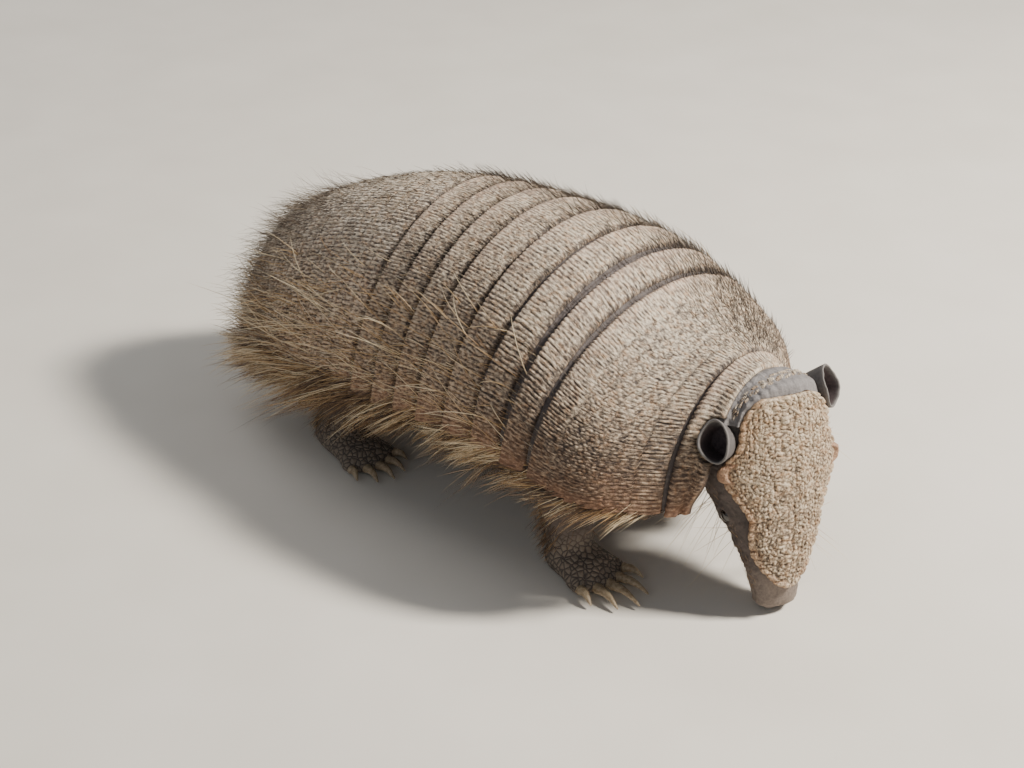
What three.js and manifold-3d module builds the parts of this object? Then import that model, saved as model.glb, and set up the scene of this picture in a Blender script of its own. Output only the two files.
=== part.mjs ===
// A large hairy armadillo at life size, standing with its nose at the ground.
// Millimetres, +X the way the body faces, +Y the animal's left, +Z up, floor at Z = 0.
import * as THREE from 'three';
import { mergeVertices } from 'three/addons/utils/BufferGeometryUtils.js';
import Module from 'manifold-3d';

const wasm = await Module();
wasm.setup();

// ---------- Driving dimensions ----------

const SHELL_LENGTH = 269;      // nuchal band's front edge to the top of the rump
const SIDE_BEND = -0.00059;    // sideways curve of the back, per millimetre squared
const SEAM_LEAN_REAR = 15.5;   // how far a seam at the rear slants back at the rim
const SEAM_LEAN_FRONT = -0.9;  // the same for a seam at the front
const LEAN_FADE = 0.4;         // the slant grows from nothing over this share of the rump
const PLATE = 3.2;             // thickness of the shell plates
const GAP = 0.35;              // clearance between neighbouring pieces
const TRUNK_DEPTH = 4.8;       // how deep the trunk lies under the shell's surface
const SEAM_GAP = 0.8;          // bare fold between two shell plates
const CROWN = 0.9;             // how much a band bulges between its two seams
const ORIGIN = new THREE.Vector3(15.4, 2.6, 0);  // centre of the footprint, moved to the origin

// Shell stations: place along the back, half width, height of the crest, height of the rim.
const SHELL_STATIONS = [
  [-0.060, 22.0, 64.0, 41.0],
  [-0.032, 33.0, 81.0, 38.0],
  [0.000, 41.5, 95.5, 37.0],
  [0.120, 56.0, 115.7, 41.5],
  [0.300, 66.1, 131.9, 48.5],
  [0.500, 72.6, 135.8, 56.2],
  [0.700, 80.2, 130.4, 63.3],
  [0.880, 75.2, 109.0, 57.5],
  [1.000, 39.1, 104.9, 49.5],
];
const BELLY_HEIGHT = 34;       // underside of the trunk above the floor
const BELLY_MIDDLE = 0.475;    // place along the back where the belly hangs lowest
const BELLY_RISE = 4.4;        // how fast the belly rises towards its ends, with the cube of the place
const BELLY_FULLNESS = 0.8;    // below 1, the belly's section is fuller than an ellipse
const TRUNK_ROWS = [-0.04, -0.02, 0.01, 0.06, 0.13, 0.22, 0.34, 0.47, 0.6, 0.7, 0.79, 0.87, 0.92, 0.955];
const TRUNK_CLEARANCE = 2;     // between the trunk and the back of the head

// Neck: points from the trunk to the head as [x, y, z, half width, half height].
const NECK = [
  [114, -8, 75, 33, 23],
  [128, -10, 76, 33, 24],
  [139, -11, 79.5, 25, 21.5],
  [150, -14, 83, 17, 15.5],
];
const NECK_SIDES = 12;

// Seams from the rump forward: seven movable bands lie between the first eight.
const BAND_SEAMS = [0.372, 0.424, 0.476, 0.533, 0.601, 0.671, 0.736, 0.793];
const NUCHAL_SEAM = 0.975;
const RUMP_ROWS = [-0.060, -0.046, -0.026, 0.00, 0.04, 0.10, 0.18, 0.28];
const SHELL_FRONT = 1.018;

// The head hangs from the rear centre of its shield, nose down and turned to its right.
const HEAD_AT = new THREE.Vector3(154.5, -15.5, 102.8);
const HEAD_YAW = THREE.MathUtils.degToRad(-30.8);
const HEAD_PITCH = THREE.MathUtils.degToRad(78.5);

// Head stations: distance from the shield's rear edge, half width, top line, bottom line.
const HEAD_STATIONS = [
  [-2, 9, -7.0, -14],
  [1, 16, -3.6, -18],
  [5, 20.5, -2.6, -24],
  [12, 25, -2.9, -32],
  [22, 27.5, -3.0, -39],
  [34, 28.5, -3.0, -41],
  [46, 26.0, -3.0, -38],
  [58, 21.5, -3.0, -32],
  [70, 16.5, -3.0, -26],
  [82, 12.6, -3.4, -22],
  [92, 10.4, -4.0, -20],
  [98, 9.4, -5.0, -19],
  [100.5, 7.6, -7.0, -17],
];
// Head shield stations: distance from the same place, half of the angle that the shield spans.
const HEAD_SHIELD_STATIONS = [
  [3, 0.52],
  [5, 0.64],
  [11, 0.74],
  [24, 0.76],
  [34.5, 1.08],
  [43, 0.94],
  [56, 0.72],
  [66, 0.89],
  [72, 0.94],
  [77, 0.85],
  [82, 0.62],
  [86, 0.40],
  [88.6, 0.16],
];
const HEAD_SHIELD_TURN = 0.12; // how far round to the left the shield's middle lies
const HEAD_PLATE = 2.4;        // thickness of the head shield
const HEAD_ROWS = [3, 6, 12, 24, 34.5, 43, 56, 66, 74, 81, 86, 88.6];
const HEAD_SIDES = 18;
const HEAD_SHIELD_SIDES = 8;
const SECTION_ROUNDNESS = 2.4; // exponent of the head's superelliptic section

const EAR_MOUTHS = { right: [18, -31, 0], left: [6, 26, -9.5] };  // middle of each opening on the head
const EAR_DEPTH = 17;
const EAR_RADII = [[5.5, 5.0], [8.1, 6.8]];  // half length and half width, at the root and the rim
const EAR_TIP = 2.4;           // how far the rim is drawn out at its top
const EAR_FLARE = 0.7;         // below 1, the funnel widens most near its root
const EAR_WALL = 1.5;
const EAR_SIDES = 12;
const EAR_OPENS = [-0.3, 0.62, 0.7];   // the way an opening faces: down the snout, to its side, out
const EAR_STANDS = [-1, 0.15, 0];      // the way an ear's tip points
const EYE_AT = [56, 19.2, -13.5];      // down the snout, to its side, out
const EYE_RADIUS = 3.6;

// Legs: points down the limb as [x, y, z, half width, half depth], right side, mirrored for the left.
const FRONT_LEG = [
  [62, -40, 56, 19, 19],
  [66, -46, 43, 16, 17],
  [71, -50, 28, 12.5, 13.5],
  [74, -52, 15, 11, 11.5],
  [76, -53, 6, 10.5, 11],
];
const HIND_LEG = [
  [-70, -28, 50, 20, 27],
  [-68, -38, 37, 17, 22],
  [-71, -44, 26, 13.5, 16],
  [-76, -47, 15, 11, 12],
  [-78, -47, 6, 10, 11],
];
const FRONT_FOOT = { heel: [67, -52, 9], ball: [91, -55.5, 7], width: 13.5, height: 8.5 };
const HIND_FOOT = { heel: [-86, -47, 8.5], ball: [-52, -53, 6.5], width: 13.0, height: 8.0 };
const FRONT_CLAWS = [9, 15, 17, 14, 9];
const HIND_CLAWS = [7, 10, 11, 10, 7];
const LEG_SIDES = 10;
const FOOT_SIDES = 8;
const TOE_SIDES = 6;
const TOE_LENGTH = 9;
const TOE_RADIUS = 3.9;
const TOE_SPREAD = 0.74;       // outer toes' distance from the middle one, over the foot's half width
const TOE_SPLAY = 0.30;        // how far an outer toe turns outwards
const TOE_ARC = 5;             // how far the outer toes start behind the middle one
const TOE_START = 1.5;         // the middle toe's start in front of the ball
const TOE_ROWS = [[-0.6, 0.9], [0, 1], [1, 0.8]];  // place over the toe's length, radius over its own
// Foot sections: place from heel to ball, width and height over the foot's own.
const SOLE_ROWS = [[0, 0.62, 0.85], [0.25, 0.86, 1.05], [0.6, 0.95, 1], [1, 1, 0.85], [1.16, 0.8, 0.6]];
const CLAW_ROOT = [2.65, 2.95];  // half width and half height of a claw at its root
const CLAW_TIP = 0.35;         // half thickness at its tip
const CLAW_ARCH = 1.4;         // how far its back rises between root and tip
const CLAW_TIP_HEIGHT = 2.2;
const CLAW_SIDES = 6;
const SOLE_SINK = 0.62;        // height of a foot's middle over its half height: below 1, the sole is flat
const TOE_SINK = 0.85;         // the same for a toe
const CLAW_GAP = 1.5;          // a claw's slanted root stays clear of its toe

// The tail drops from under the shield and lies along the floor: x, y, z, radius.
const TAIL_PATH = [
  [-136, -10, 46, 14.5],
  [-149, -9, 29, 12.5],
  [-159, -4, 17, 10.8],
  [-172, 8, 8.9, 9.2],
  [-185, 24, 6.9, 7.2],
  [-195, 42, 4.7, 5.0],
  [-200, 58, 2.4, 2.6],
];
const TAIL_SIDES = 12;
const TAIL_LENGTHS = [['tail_base', 0, 2], ['tail_middle', 2, 4], ['tail_tip', 4, 6]];

// ---------- Colours ----------

const finish = (color, roughness) => new THREE.MeshStandardMaterial({ color, roughness, metalness: 0 });
const SCUTE = finish(0x9c8d7b, 0.75);
const DARK_SCUTE = finish(0x7d6f60, 0.8);
const FACE_SCUTE = finish(0xa8957d, 0.75);
const SKIN = finish(0x6b5f58, 0.85);
const EAR_SKIN = finish(0x4f4543, 0.8);
const EYEBALL = finish(0x120e0c, 0.15);
const CLAW = finish(0xb09a78, 0.5);

// ---------- Small tools ----------

const point = ([x, y, z]) => new THREE.Vector3(x, y, z);

// A smooth value through stations: cubic Hermite with slopes from the neighbours.
function smooth(stations, column, at) {
  const last = stations.length - 1;
  const x = Math.min(Math.max(at, stations[0][0]), stations[last][0]);
  let i = 0;
  while (i < last - 1 && x > stations[i + 1][0]) i += 1;
  const slope = (k) => {
    const a = stations[Math.max(k - 1, 0)];
    const b = stations[Math.min(k + 1, last)];
    return (b[column] - a[column]) / (b[0] - a[0]);
  };
  const span = stations[i + 1][0] - stations[i][0];
  const t = (x - stations[i][0]) / span;
  const rise = stations[i + 1][column] - stations[i][column];
  const m0 = slope(i) * span;
  const m1 = slope(i + 1) * span;
  const bend = (m0 + m1 - 2 * rise) * t * t * t + (3 * rise - 2 * m0 - m1) * t * t;
  return stations[i][column] + m0 * t + bend;
}

function steps(from, to, count) {
  return Array.from({ length: count + 1 }, (_, i) => from + ((to - from) * i) / count);
}

// Angles once round, without the last, which is the first again.
const roundAngles = (sides) => steps(0, 2 * Math.PI, sides).slice(0, -1);

// Joins loops of equal length into a closed body. A plate's loop goes out and back, so its
// ends are closed by a strip across it; any other end is closed by a fan about its middle.
function loft(loops, isPlate = false) {
  const n = loops[0].length;
  const points = loops.flat();
  const faces = [];
  for (let i = 0; i < loops.length - 1; i += 1) {
    for (let j = 0; j < n; j += 1) {
      const k = (j + 1) % n;
      faces.push(i * n + j, i * n + k, (i + 1) * n + k, i * n + j, (i + 1) * n + k, (i + 1) * n + j);
    }
  }
  for (const [first, flip] of [[0, true], [(loops.length - 1) * n, false]]) {
    const cap = isPlate ? stripCap(first, n) : fanCap(first, n, points);
    for (const [a, b, c] of cap) faces.push(...(flip ? [a, c, b] : [a, b, c]));
  }
  return closedGeometry(points, faces);
}

function stripCap(first, n) {
  const cap = [];
  for (let j = 0; j < n / 2 - 1; j += 1) {
    const [a, b, c, d] = [j, j + 1, n - 2 - j, n - 1 - j].map((k) => first + k);
    cap.push([a, b, c], [a, c, d]);
  }
  return cap;
}

function fanCap(first, n, points) {
  const middle = new THREE.Vector3();
  for (let j = 0; j < n; j += 1) middle.addScaledVector(points[first + j], 1 / n);
  points.push(middle);
  const hub = points.length - 1;
  return Array.from({ length: n }, (_, j) => [first + j, first + ((j + 1) % n), hub]);
}

function closedGeometry(points, faces) {
  const geometry = new THREE.BufferGeometry();
  geometry.setAttribute('position', new THREE.Float32BufferAttribute(points.flatMap((p) => p.toArray()), 3));
  geometry.setIndex(signedVolume(points, faces) < 0 ? flipped(faces) : faces);
  return mergeVertices(geometry, 1e-3);
}

function signedVolume(points, faces) {
  let volume = 0;
  for (let i = 0; i < faces.length; i += 3) {
    const [a, b, c] = [points[faces[i]], points[faces[i + 1]], points[faces[i + 2]]];
    volume += a.dot(b.clone().cross(c)) / 6;
  }
  return volume;
}

function flipped(faces) {
  const turned = [];
  for (let i = 0; i < faces.length; i += 3) turned.push(faces[i], faces[i + 2], faces[i + 1]);
  return turned;
}

// ---------- Joining and cutting ----------

const FLATNESS = 0.02;     // keeps the least-squares move steady where all faces are nearly in one plane
const LONGEST_MOVE = 3;    // a vertex at a sharp edge moves at most this many margins

function toSolid(geometry) {
  const vertProperties = new Float32Array(geometry.attributes.position.array);
  const triVerts = new Uint32Array(geometry.index.array);
  return new wasm.Manifold(new wasm.Mesh({ numProp: 3, vertProperties, triVerts }));
}

function fromSolid(solid) {
  const mesh = solid.getMesh();
  const geometry = new THREE.BufferGeometry();
  geometry.setAttribute('position', new THREE.Float32BufferAttribute(mesh.vertProperties, 3));
  geometry.setIndex(Array.from(mesh.triVerts));
  return mergeVertices(geometry, 1e-3);
}

// The same body with every face moved outwards by a margin. A vertex moves by d, where n . d is
// the margin for each face normal n around it: a least-squares solution of three equations.
function grown(geometry, margin) {
  const { position } = geometry.attributes;
  const index = geometry.index.array;
  const corner = (_, i) => new THREE.Vector3().fromBufferAttribute(position, i);
  const corners = Array.from({ length: position.count }, corner);
  const sums = corners.map(() => ({ squares: new Array(9).fill(0), normal: new THREE.Vector3() }));
  for (let i = 0; i < index.length; i += 3) {
    const [a, b, c] = [index[i], index[i + 1], index[i + 2]];
    const normal = corners[b].clone().sub(corners[a]).cross(corners[c].clone().sub(corners[a])).normalize();
    const n = normal.toArray();
    for (const vertex of [a, b, c]) {
      const sum = sums[vertex];
      sum.normal.add(normal);
      n.forEach((row, r) => n.forEach((column, k) => { sum.squares[3 * r + k] += row * column; }));
    }
  }
  const swollen = geometry.clone();
  corners.forEach((vertex, i) => {
    const { squares, normal } = sums[i];
    for (const diagonal of [0, 4, 8]) squares[diagonal] += FLATNESS;
    const move = normal.clone().applyMatrix3(new THREE.Matrix3().set(...squares).invert());
    vertex.addScaledVector(move.clampLength(0, LONGEST_MOVE), margin);
    swollen.attributes.position.setXYZ(i, vertex.x, vertex.y, vertex.z);
  });
  return swollen;
}

const joined = (geometries) => fromSolid(geometries.map(toSolid).reduce((a, b) => a.add(b)));

// Takes the neighbours and their clearance away and keeps the largest piece that is left.
function carved(geometry, neighbours, margin = GAP) {
  const cutters = neighbours.map((neighbour) => toSolid(grown(neighbour, margin)));
  const rest = cutters.reduce((body, cutter) => body.subtract(cutter), toSolid(geometry));
  const pieces = rest.decompose().sort((a, b) => b.volume() - a.volume());
  return fromSolid(pieces[0]);
}

// ---------- The shell ----------

function shellSurface(u, angle) {
  const x = (u - 0.5) * SHELL_LENGTH;
  const halfWidth = smooth(SHELL_STATIONS, 1, u);
  const rim = smooth(SHELL_STATIONS, 3, u);
  const rise = smooth(SHELL_STATIONS, 2, u) - rim;
  return new THREE.Vector3(x, SIDE_BEND * x * x - halfWidth * Math.cos(angle), rim + rise * Math.sin(angle));
}

// A point under the shell: the place is that of the seam through it, the angle runs from the
// right rim (0) over the crest to the left rim (pi), and the depth is measured inwards.
function shellPoint(place, angle, depth) {
  const fade = THREE.MathUtils.clamp((place - SHELL_STATIONS[0][0]) / LEAN_FADE, 0, 1);
  const lean = (SEAM_LEAN_REAR + (SEAM_LEAN_FRONT - SEAM_LEAN_REAR) * place) * fade;
  const u = place - (lean * (1 - Math.sin(angle))) / SHELL_LENGTH;
  const step = 0.002;
  const along = shellSurface(u + step, angle).sub(shellSurface(u - step, angle));
  const around = shellSurface(u, angle + step).sub(shellSurface(u, angle - step));
  const inwards = around.cross(along).normalize();
  return shellSurface(u, angle).addScaledVector(inwards, depth);
}

const SHELL_SIDES = 20;
const shellAngles = steps(0, Math.PI, SHELL_SIDES);

// A plate of the shell between two seams, crowned between them.
function shellPlate(places, crown = 0) {
  const loops = places.map((place, i) => {
    const bulge = crown * Math.sin((Math.PI * i) / (places.length - 1));
    const outer = shellAngles.map((angle) => shellPoint(place, angle, -bulge));
    const inner = shellAngles.map((angle) => shellPoint(place, angle, PLATE));
    return [...outer, ...inner.reverse()];
  });
  return loft(loops, true);
}

const seamHalf = SEAM_GAP / 2 / SHELL_LENGTH;

function shellPlates() {
  const rump = shellPlate([...RUMP_ROWS, BAND_SEAMS[0] - seamHalf]);
  const plates = [['pelvic_shield', rump, DARK_SCUTE]];
  for (let i = 0; i < BAND_SEAMS.length - 1; i += 1) {
    const band = shellPlate(steps(BAND_SEAMS[i] + seamHalf, BAND_SEAMS[i + 1] - seamHalf, 2), CROWN);
    plates.push([`band_${BAND_SEAMS.length - 1 - i}`, band, SCUTE]);
  }
  const lastSeam = BAND_SEAMS[BAND_SEAMS.length - 1];
  const shoulder = shellPlate(steps(lastSeam + seamHalf, NUCHAL_SEAM - seamHalf, 5));
  plates.push(['shoulder_shield', shoulder, SCUTE]);
  plates.push(['nuchal_band', shellPlate([NUCHAL_SEAM + seamHalf, SHELL_FRONT]), SCUTE]);
  return plates;
}

// ---------- Trunk, neck and tail ----------

// The trunk fills the shell and bulges below its rims down to the belly.
function trunk() {
  const under = steps(0, Math.PI, 9).slice(1, -1);
  const loops = TRUNK_ROWS.map((place) => {
    const over = shellAngles.map((angle) => shellPoint(place, angle, TRUNK_DEPTH));
    const left = over[over.length - 1];
    const right = over[0];
    const middle = left.clone().add(right).multiplyScalar(0.5);
    const half = left.clone().sub(right).multiplyScalar(0.5);
    const ends = 1 - BELLY_RISE * Math.abs(place - BELLY_MIDDLE) ** 3;
    const drop = (middle.z - BELLY_HEIGHT) * ends;
    const belly = under.map((angle) => {
      const below = middle.clone().addScaledVector(half, Math.cos(angle));
      below.z -= drop * Math.sin(angle) ** BELLY_FULLNESS;
      return below;
    });
    return [...over, ...belly];
  });
  return loft(loops);
}

// A body swept through stations of [x, y, z, half width, half height].
function sweep(stations, sides, sideways, floor = -Infinity) {
  const centres = stations.map(point);
  const loops = stations.map((station, i) => {
    const before = centres[Math.max(i - 1, 0)];
    const after = centres[Math.min(i + 1, centres.length - 1)];
    const along = after.clone().sub(before).normalize();
    const up = along.clone().cross(sideways).normalize();
    const side = up.clone().cross(along);
    const [wide, tall] = [station[3], station[4] ?? station[3]];
    return roundAngles(sides).map((angle) => {
      const p = centres[i].clone();
      p.addScaledVector(side, wide * Math.cos(angle)).addScaledVector(up, tall * Math.sin(angle));
      p.z = Math.max(p.z, floor);
      return p;
    });
  });
  return loft(loops);
}

const LEFTWARDS = new THREE.Vector3(0, 1, 0);

// The tail in three lengths, parted by thin cuts across it.
function tailLengths() {
  const parts = [];
  for (const [name, first, last] of TAIL_LENGTHS) {
    const stations = TAIL_PATH.slice(first, last + 1).map((s) => [...s]);
    if (first > 0) {
      const [a, b] = [point(stations[0]), point(stations[1])];
      const start = a.addScaledVector(b.sub(a).normalize(), GAP);
      [stations[0][0], stations[0][1], stations[0][2]] = start.toArray();
    }
    parts.push([name, sweepTail(stations, first, last), SKIN]);
  }
  return parts;
}

// Sections at a cut use the whole tail's direction there, so the two faces stay parallel.
function sweepTail(stations, first, last) {
  const whole = TAIL_PATH.map(point);
  const loops = stations.map((station, i) => {
    const k = first + i;
    const before = whole[Math.max(k - 1, 0)];
    const after = whole[Math.min(k + 1, whole.length - 1)];
    const along = after.clone().sub(before).normalize();
    const side = new THREE.Vector3(0, 0, 1).cross(along).normalize();
    const up = along.clone().cross(side);
    return roundAngles(TAIL_SIDES).map((angle) => {
      const p = point(station);
      p.addScaledVector(side, station[3] * Math.cos(angle));
      p.addScaledVector(up, station[3] * Math.sin(angle));
      p.z = Math.max(p.z, 0);
      return p;
    });
  });
  return loft(loops);
}

// ---------- Head ----------

// The head's own directions: down the snout, to its left and out through the shield.
const snoutwards = new THREE.Vector3(
  Math.cos(HEAD_PITCH) * Math.cos(HEAD_YAW),
  Math.cos(HEAD_PITCH) * Math.sin(HEAD_YAW),
  -Math.sin(HEAD_PITCH),
);
const headLeft = new THREE.Vector3(-Math.sin(HEAD_YAW), Math.cos(HEAD_YAW), 0);
const shieldwards = snoutwards.clone().cross(headLeft);

const headPoint = (down, left, out) => HEAD_AT.clone()
  .addScaledVector(snoutwards, down)
  .addScaledVector(headLeft, left)
  .addScaledVector(shieldwards, out);

// The head's surface: distance down the snout, angle from the shield's middle, and a margin.
function headSurface(down, angle, margin = 0) {
  const halfWidth = smooth(HEAD_STATIONS, 1, down) + margin;
  const top = smooth(HEAD_STATIONS, 2, down) + margin;
  const bottom = smooth(HEAD_STATIONS, 3, down) - margin;
  const round = (v) => Math.sign(v) * Math.abs(v) ** (2 / SECTION_ROUNDNESS);
  const left = halfWidth * round(Math.sin(angle));
  const out = (top + bottom) / 2 + ((top - bottom) / 2) * round(Math.cos(angle));
  return headPoint(down, left, out);
}

function headBody() {
  const angles = roundAngles(HEAD_SIDES).map((angle) => angle - Math.PI);
  const rows = [-2, 0, ...HEAD_ROWS, 95, 99, 100.5];
  return loft(rows.map((down) => angles.map((angle) => headSurface(down, angle))));
}

function headShield() {
  const loops = HEAD_ROWS.map((down) => {
    const reach = smooth(HEAD_SHIELD_STATIONS, 1, down);
    const angles = steps(HEAD_SHIELD_TURN - reach, HEAD_SHIELD_TURN + reach, HEAD_SHIELD_SIDES);
    const outer = angles.map((angle) => headSurface(down, angle, GAP + HEAD_PLATE));
    const inner = angles.map((angle) => headSurface(down, angle, 2 * GAP));
    return [...outer, ...inner.reverse()];
  });
  return loft(loops, true);
}

function headDirection([down, aside, out], side) {
  return headPoint(down, aside * side, out).sub(HEAD_AT).normalize();
}

// A funnel with an oval mouth that faces forwards and outwards, drawn out to a tip at the top.
function ear(side, sideName) {
  const mouth = headPoint(...EAR_MOUTHS[sideName]);
  const outwards = headDirection(EAR_OPENS, side);
  const upwards = headDirection(EAR_STANDS, side);
  upwards.addScaledVector(outwards, -upwards.dot(outwards)).normalize();
  const across = upwards.clone().cross(outwards);
  const [root, rim] = EAR_RADII;
  const ring = (t, inset) => roundAngles(EAR_SIDES).map((angle) => {
    const [long, short] = root.map((radius, k) => radius + (rim[k] - radius) * t ** EAR_FLARE);
    const tip = EAR_TIP * t * Math.max(0, Math.sin(angle)) ** 3;
    return mouth.clone()
      .addScaledVector(outwards, EAR_DEPTH * (t - 1) + 0.5 * tip)
      .addScaledVector(upwards, (long - inset) * Math.sin(angle) + tip)
      .addScaledVector(across, (short - inset) * Math.cos(angle));
  });
  const outside = steps(0, 1, 4).map((t) => ring(t, 0));
  const inside = steps(1, 0.25, 3).map((t) => ring(t, EAR_WALL));
  return loft([...outside, ...inside]);
}

function eye(side) {
  const ball = new THREE.IcosahedronGeometry(EYE_RADIUS, 1);
  ball.deleteAttribute('normal');
  ball.deleteAttribute('uv');
  const [down, aside, out] = EYE_AT;
  const centre = headPoint(down, aside * side, out);
  ball.translate(centre.x, centre.y, centre.z);
  return mergeVertices(ball, 1e-3);
}

// ---------- Legs ----------

const mirrored = (stations) => stations.map(([x, y, ...rest]) => [x, -y, ...rest]);

// The foot's own directions and where its five toes start.
function footPlan(foot, side) {
  const heel = point(foot.heel);
  const ball = point(foot.ball);
  if (side > 0) [heel.y, ball.y] = [-heel.y, -ball.y];
  const forwards = ball.clone().sub(heel).setZ(0).normalize();
  const outwards = new THREE.Vector3(-forwards.y, forwards.x, 0).multiplyScalar(side);
  const toes = steps(-1, 1, 4).map((t) => {
    const heading = forwards.clone().addScaledVector(outwards, TOE_SPLAY * t).normalize();
    const start = ball.clone().addScaledVector(outwards, foot.width * TOE_SPREAD * t);
    start.addScaledVector(forwards, TOE_START - TOE_ARC * t * t);
    start.z = TOE_RADIUS * TOE_SINK;
    return { start, heading };
  });
  return { heel, ball, toes };
}

function leg(stations, foot, side, cutters) {
  const limb = sweep(side > 0 ? mirrored(stations) : stations, LEG_SIDES, LEFTWARDS, 0);
  const { heel, ball, toes } = footPlan(foot, side);
  const along = ball.clone().sub(heel);
  const sole = SOLE_ROWS.map(([t, width, height]) => {
    const p = heel.clone().addScaledVector(along, t);
    const tall = foot.height * height;
    return [p.x, p.y, tall * SOLE_SINK, foot.width * width, tall];
  });
  const toeBodies = toes.map(({ start, heading }) => {
    const rows = TOE_ROWS.map(([t, radius]) => {
      const p = start.clone().addScaledVector(heading, TOE_LENGTH * t);
      return [p.x, p.y, p.z, TOE_RADIUS * radius];
    });
    return sweep(rows, TOE_SIDES, LEFTWARDS, 0);
  });
  return carved(joined([limb, sweep(sole, FOOT_SIDES, LEFTWARDS, 0), ...toeBodies]), cutters);
}

// A claw curves forwards and down from its toe.
function claw({ start, heading }, length) {
  const root = start.clone().addScaledVector(heading, TOE_LENGTH + CLAW_GAP);
  const rows = steps(0, 1, 4).map((t) => {
    const p = root.clone().addScaledVector(heading, length * t);
    p.z += CLAW_ARCH * Math.sin(Math.PI * t) + (CLAW_TIP_HEIGHT - root.z) * t * t;
    const [wide, tall] = CLAW_ROOT.map((half) => CLAW_TIP + (half - CLAW_TIP) * (1 - t) ** 0.75);
    return [p.x, p.y, p.z, wide, tall];
  });
  return sweep(rows, CLAW_SIDES, LEFTWARDS, 0);
}

// ---------- Assembly ----------

const group = new THREE.Group();

function place(name, geometry, material) {
  const mesh = new THREE.Mesh(geometry, material);
  mesh.name = name;
  mesh.position.copy(ORIGIN);
  group.add(mesh);
}

const head = headBody();
const shield = headShield();
const eyes = [-1, 1].map(eye);
const plates = shellPlates();
const headBlock = [head, shield];
const nuchalBand = plates[plates.length - 1];
nuchalBand[1] = carved(nuchalBand[1], headBlock);
const trunkBody = carved(trunk(), [head], TRUNK_CLEARANCE);
const frontPlates = plates.slice(-2).map((plate) => plate[1]);
const neckSweep = sweep(NECK, NECK_SIDES, LEFTWARDS);
const neckBody = carved(neckSweep, [...headBlock, trunkBody, ...frontPlates]);

plates.forEach(([name, geometry, material]) => place(name, geometry, material));
place('trunk', trunkBody, SKIN);
place('neck', neckBody, SKIN);
place('head', carved(head, eyes), SKIN);
place('head_shield', shield, FACE_SCUTE);
tailLengths().forEach(([name, geometry, material]) => {
  place(name, name === 'tail_base' ? carved(geometry, [trunkBody, plates[0][1]]) : geometry, material);
});

const legs = [['front', FRONT_LEG, FRONT_FOOT, FRONT_CLAWS], ['hind', HIND_LEG, HIND_FOOT, HIND_CLAWS]];
const aboveLegs = [trunkBody, ...plates.map((plate) => plate[1])];
const behindEars = [...headBlock, neckBody, ...frontPlates];

for (const [side, sideName] of [[-1, 'right'], [1, 'left']]) {
  place(`eye_${sideName}`, eyes[side < 0 ? 0 : 1], EYEBALL);
  place(`ear_${sideName}`, carved(ear(side, sideName), behindEars), EAR_SKIN);
  for (const [end, stations, foot, claws] of legs) {
    place(`leg_${end}_${sideName}`, leg(stations, foot, side, aboveLegs), SKIN);
    footPlan(foot, side).toes.forEach((toe, i) => {
      place(`claw_${end}_${sideName}_${i + 1}`, claw(toe, claws[i]), CLAW);
    });
  }
}

export default group;
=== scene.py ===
"""The looks of a large hairy armadillo at life size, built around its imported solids.

Lengths are millimetres in the body's own coordinates: +X the way the body faces, +Y its left, +Z up, floor
at 0. ORIGIN moves them to the frame, and MM turns them into metres.
"""

import bmesh
import bpy
import numpy as np
from mathutils import Matrix, Vector


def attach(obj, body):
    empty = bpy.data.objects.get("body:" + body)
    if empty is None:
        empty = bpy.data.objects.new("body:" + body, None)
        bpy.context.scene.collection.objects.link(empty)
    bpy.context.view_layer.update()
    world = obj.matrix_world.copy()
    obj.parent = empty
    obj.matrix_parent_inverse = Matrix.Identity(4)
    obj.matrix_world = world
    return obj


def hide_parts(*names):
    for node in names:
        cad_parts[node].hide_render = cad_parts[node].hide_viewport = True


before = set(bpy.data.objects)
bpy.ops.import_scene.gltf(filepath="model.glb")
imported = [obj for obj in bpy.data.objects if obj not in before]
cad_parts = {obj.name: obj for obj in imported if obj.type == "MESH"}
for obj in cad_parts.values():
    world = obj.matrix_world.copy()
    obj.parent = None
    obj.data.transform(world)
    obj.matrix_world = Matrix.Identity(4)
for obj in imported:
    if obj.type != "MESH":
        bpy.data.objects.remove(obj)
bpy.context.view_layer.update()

MM = 0.001
ORIGIN = np.array([15.4, 2.6, 0.0])
PI = np.pi
SIDES = {-1: "right", 1: "left"}

# ---------- Driving sizes ----------

SHELL_LENGTH = 269.0
SIDE_BEND = -0.00059           # sideways curve of the back, per millimetre squared
SEAM_LEAN_REAR = 15.5          # how far a seam slants back at the rim, at the rear
SEAM_LEAN_FRONT = -0.9
LEAN_FADE = 0.4
PLATE = 3.2
TRUNK_DEPTH = 4.8
CROWN = 0.9
# Place along the back, half width, height of the crest, height of the rim.
SHELL_STATIONS = np.array([
    [-0.060, 22.0, 64.0, 41.0],
    [-0.032, 33.0, 81.0, 38.0],
    [0.000, 41.5, 95.5, 37.0],
    [0.120, 56.0, 115.7, 41.5],
    [0.300, 66.1, 131.9, 48.5],
    [0.500, 72.6, 135.8, 56.2],
    [0.700, 80.2, 130.4, 63.3],
    [0.880, 75.2, 109.0, 57.5],
    [1.000, 39.1, 104.9, 49.5],
])
BAND_SEAMS = [0.372, 0.424, 0.476, 0.533, 0.601, 0.671, 0.736, 0.793]
FOLD_WIDTHS = [1.6, 1.8, 2.0, 2.1, 2.3, 2.8, 4.0, 3.0]   # bare skin between two plates at each seam
NUCHAL_SEAM = 0.975
NUCHAL_FOLD = 1.6
SHELL_REAR = -0.060
SHELL_FRONT = 1.018
BELLY_HEIGHT = 34.0
BELLY_MIDDLE = 0.475
BELLY_RISE = 4.4
BELLY_FULLNESS = 0.8

HEAD_AT = np.array([154.5, -15.5, 102.8])
HEAD_YAW = np.radians(-30.8)
HEAD_PITCH = np.radians(78.5)
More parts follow.
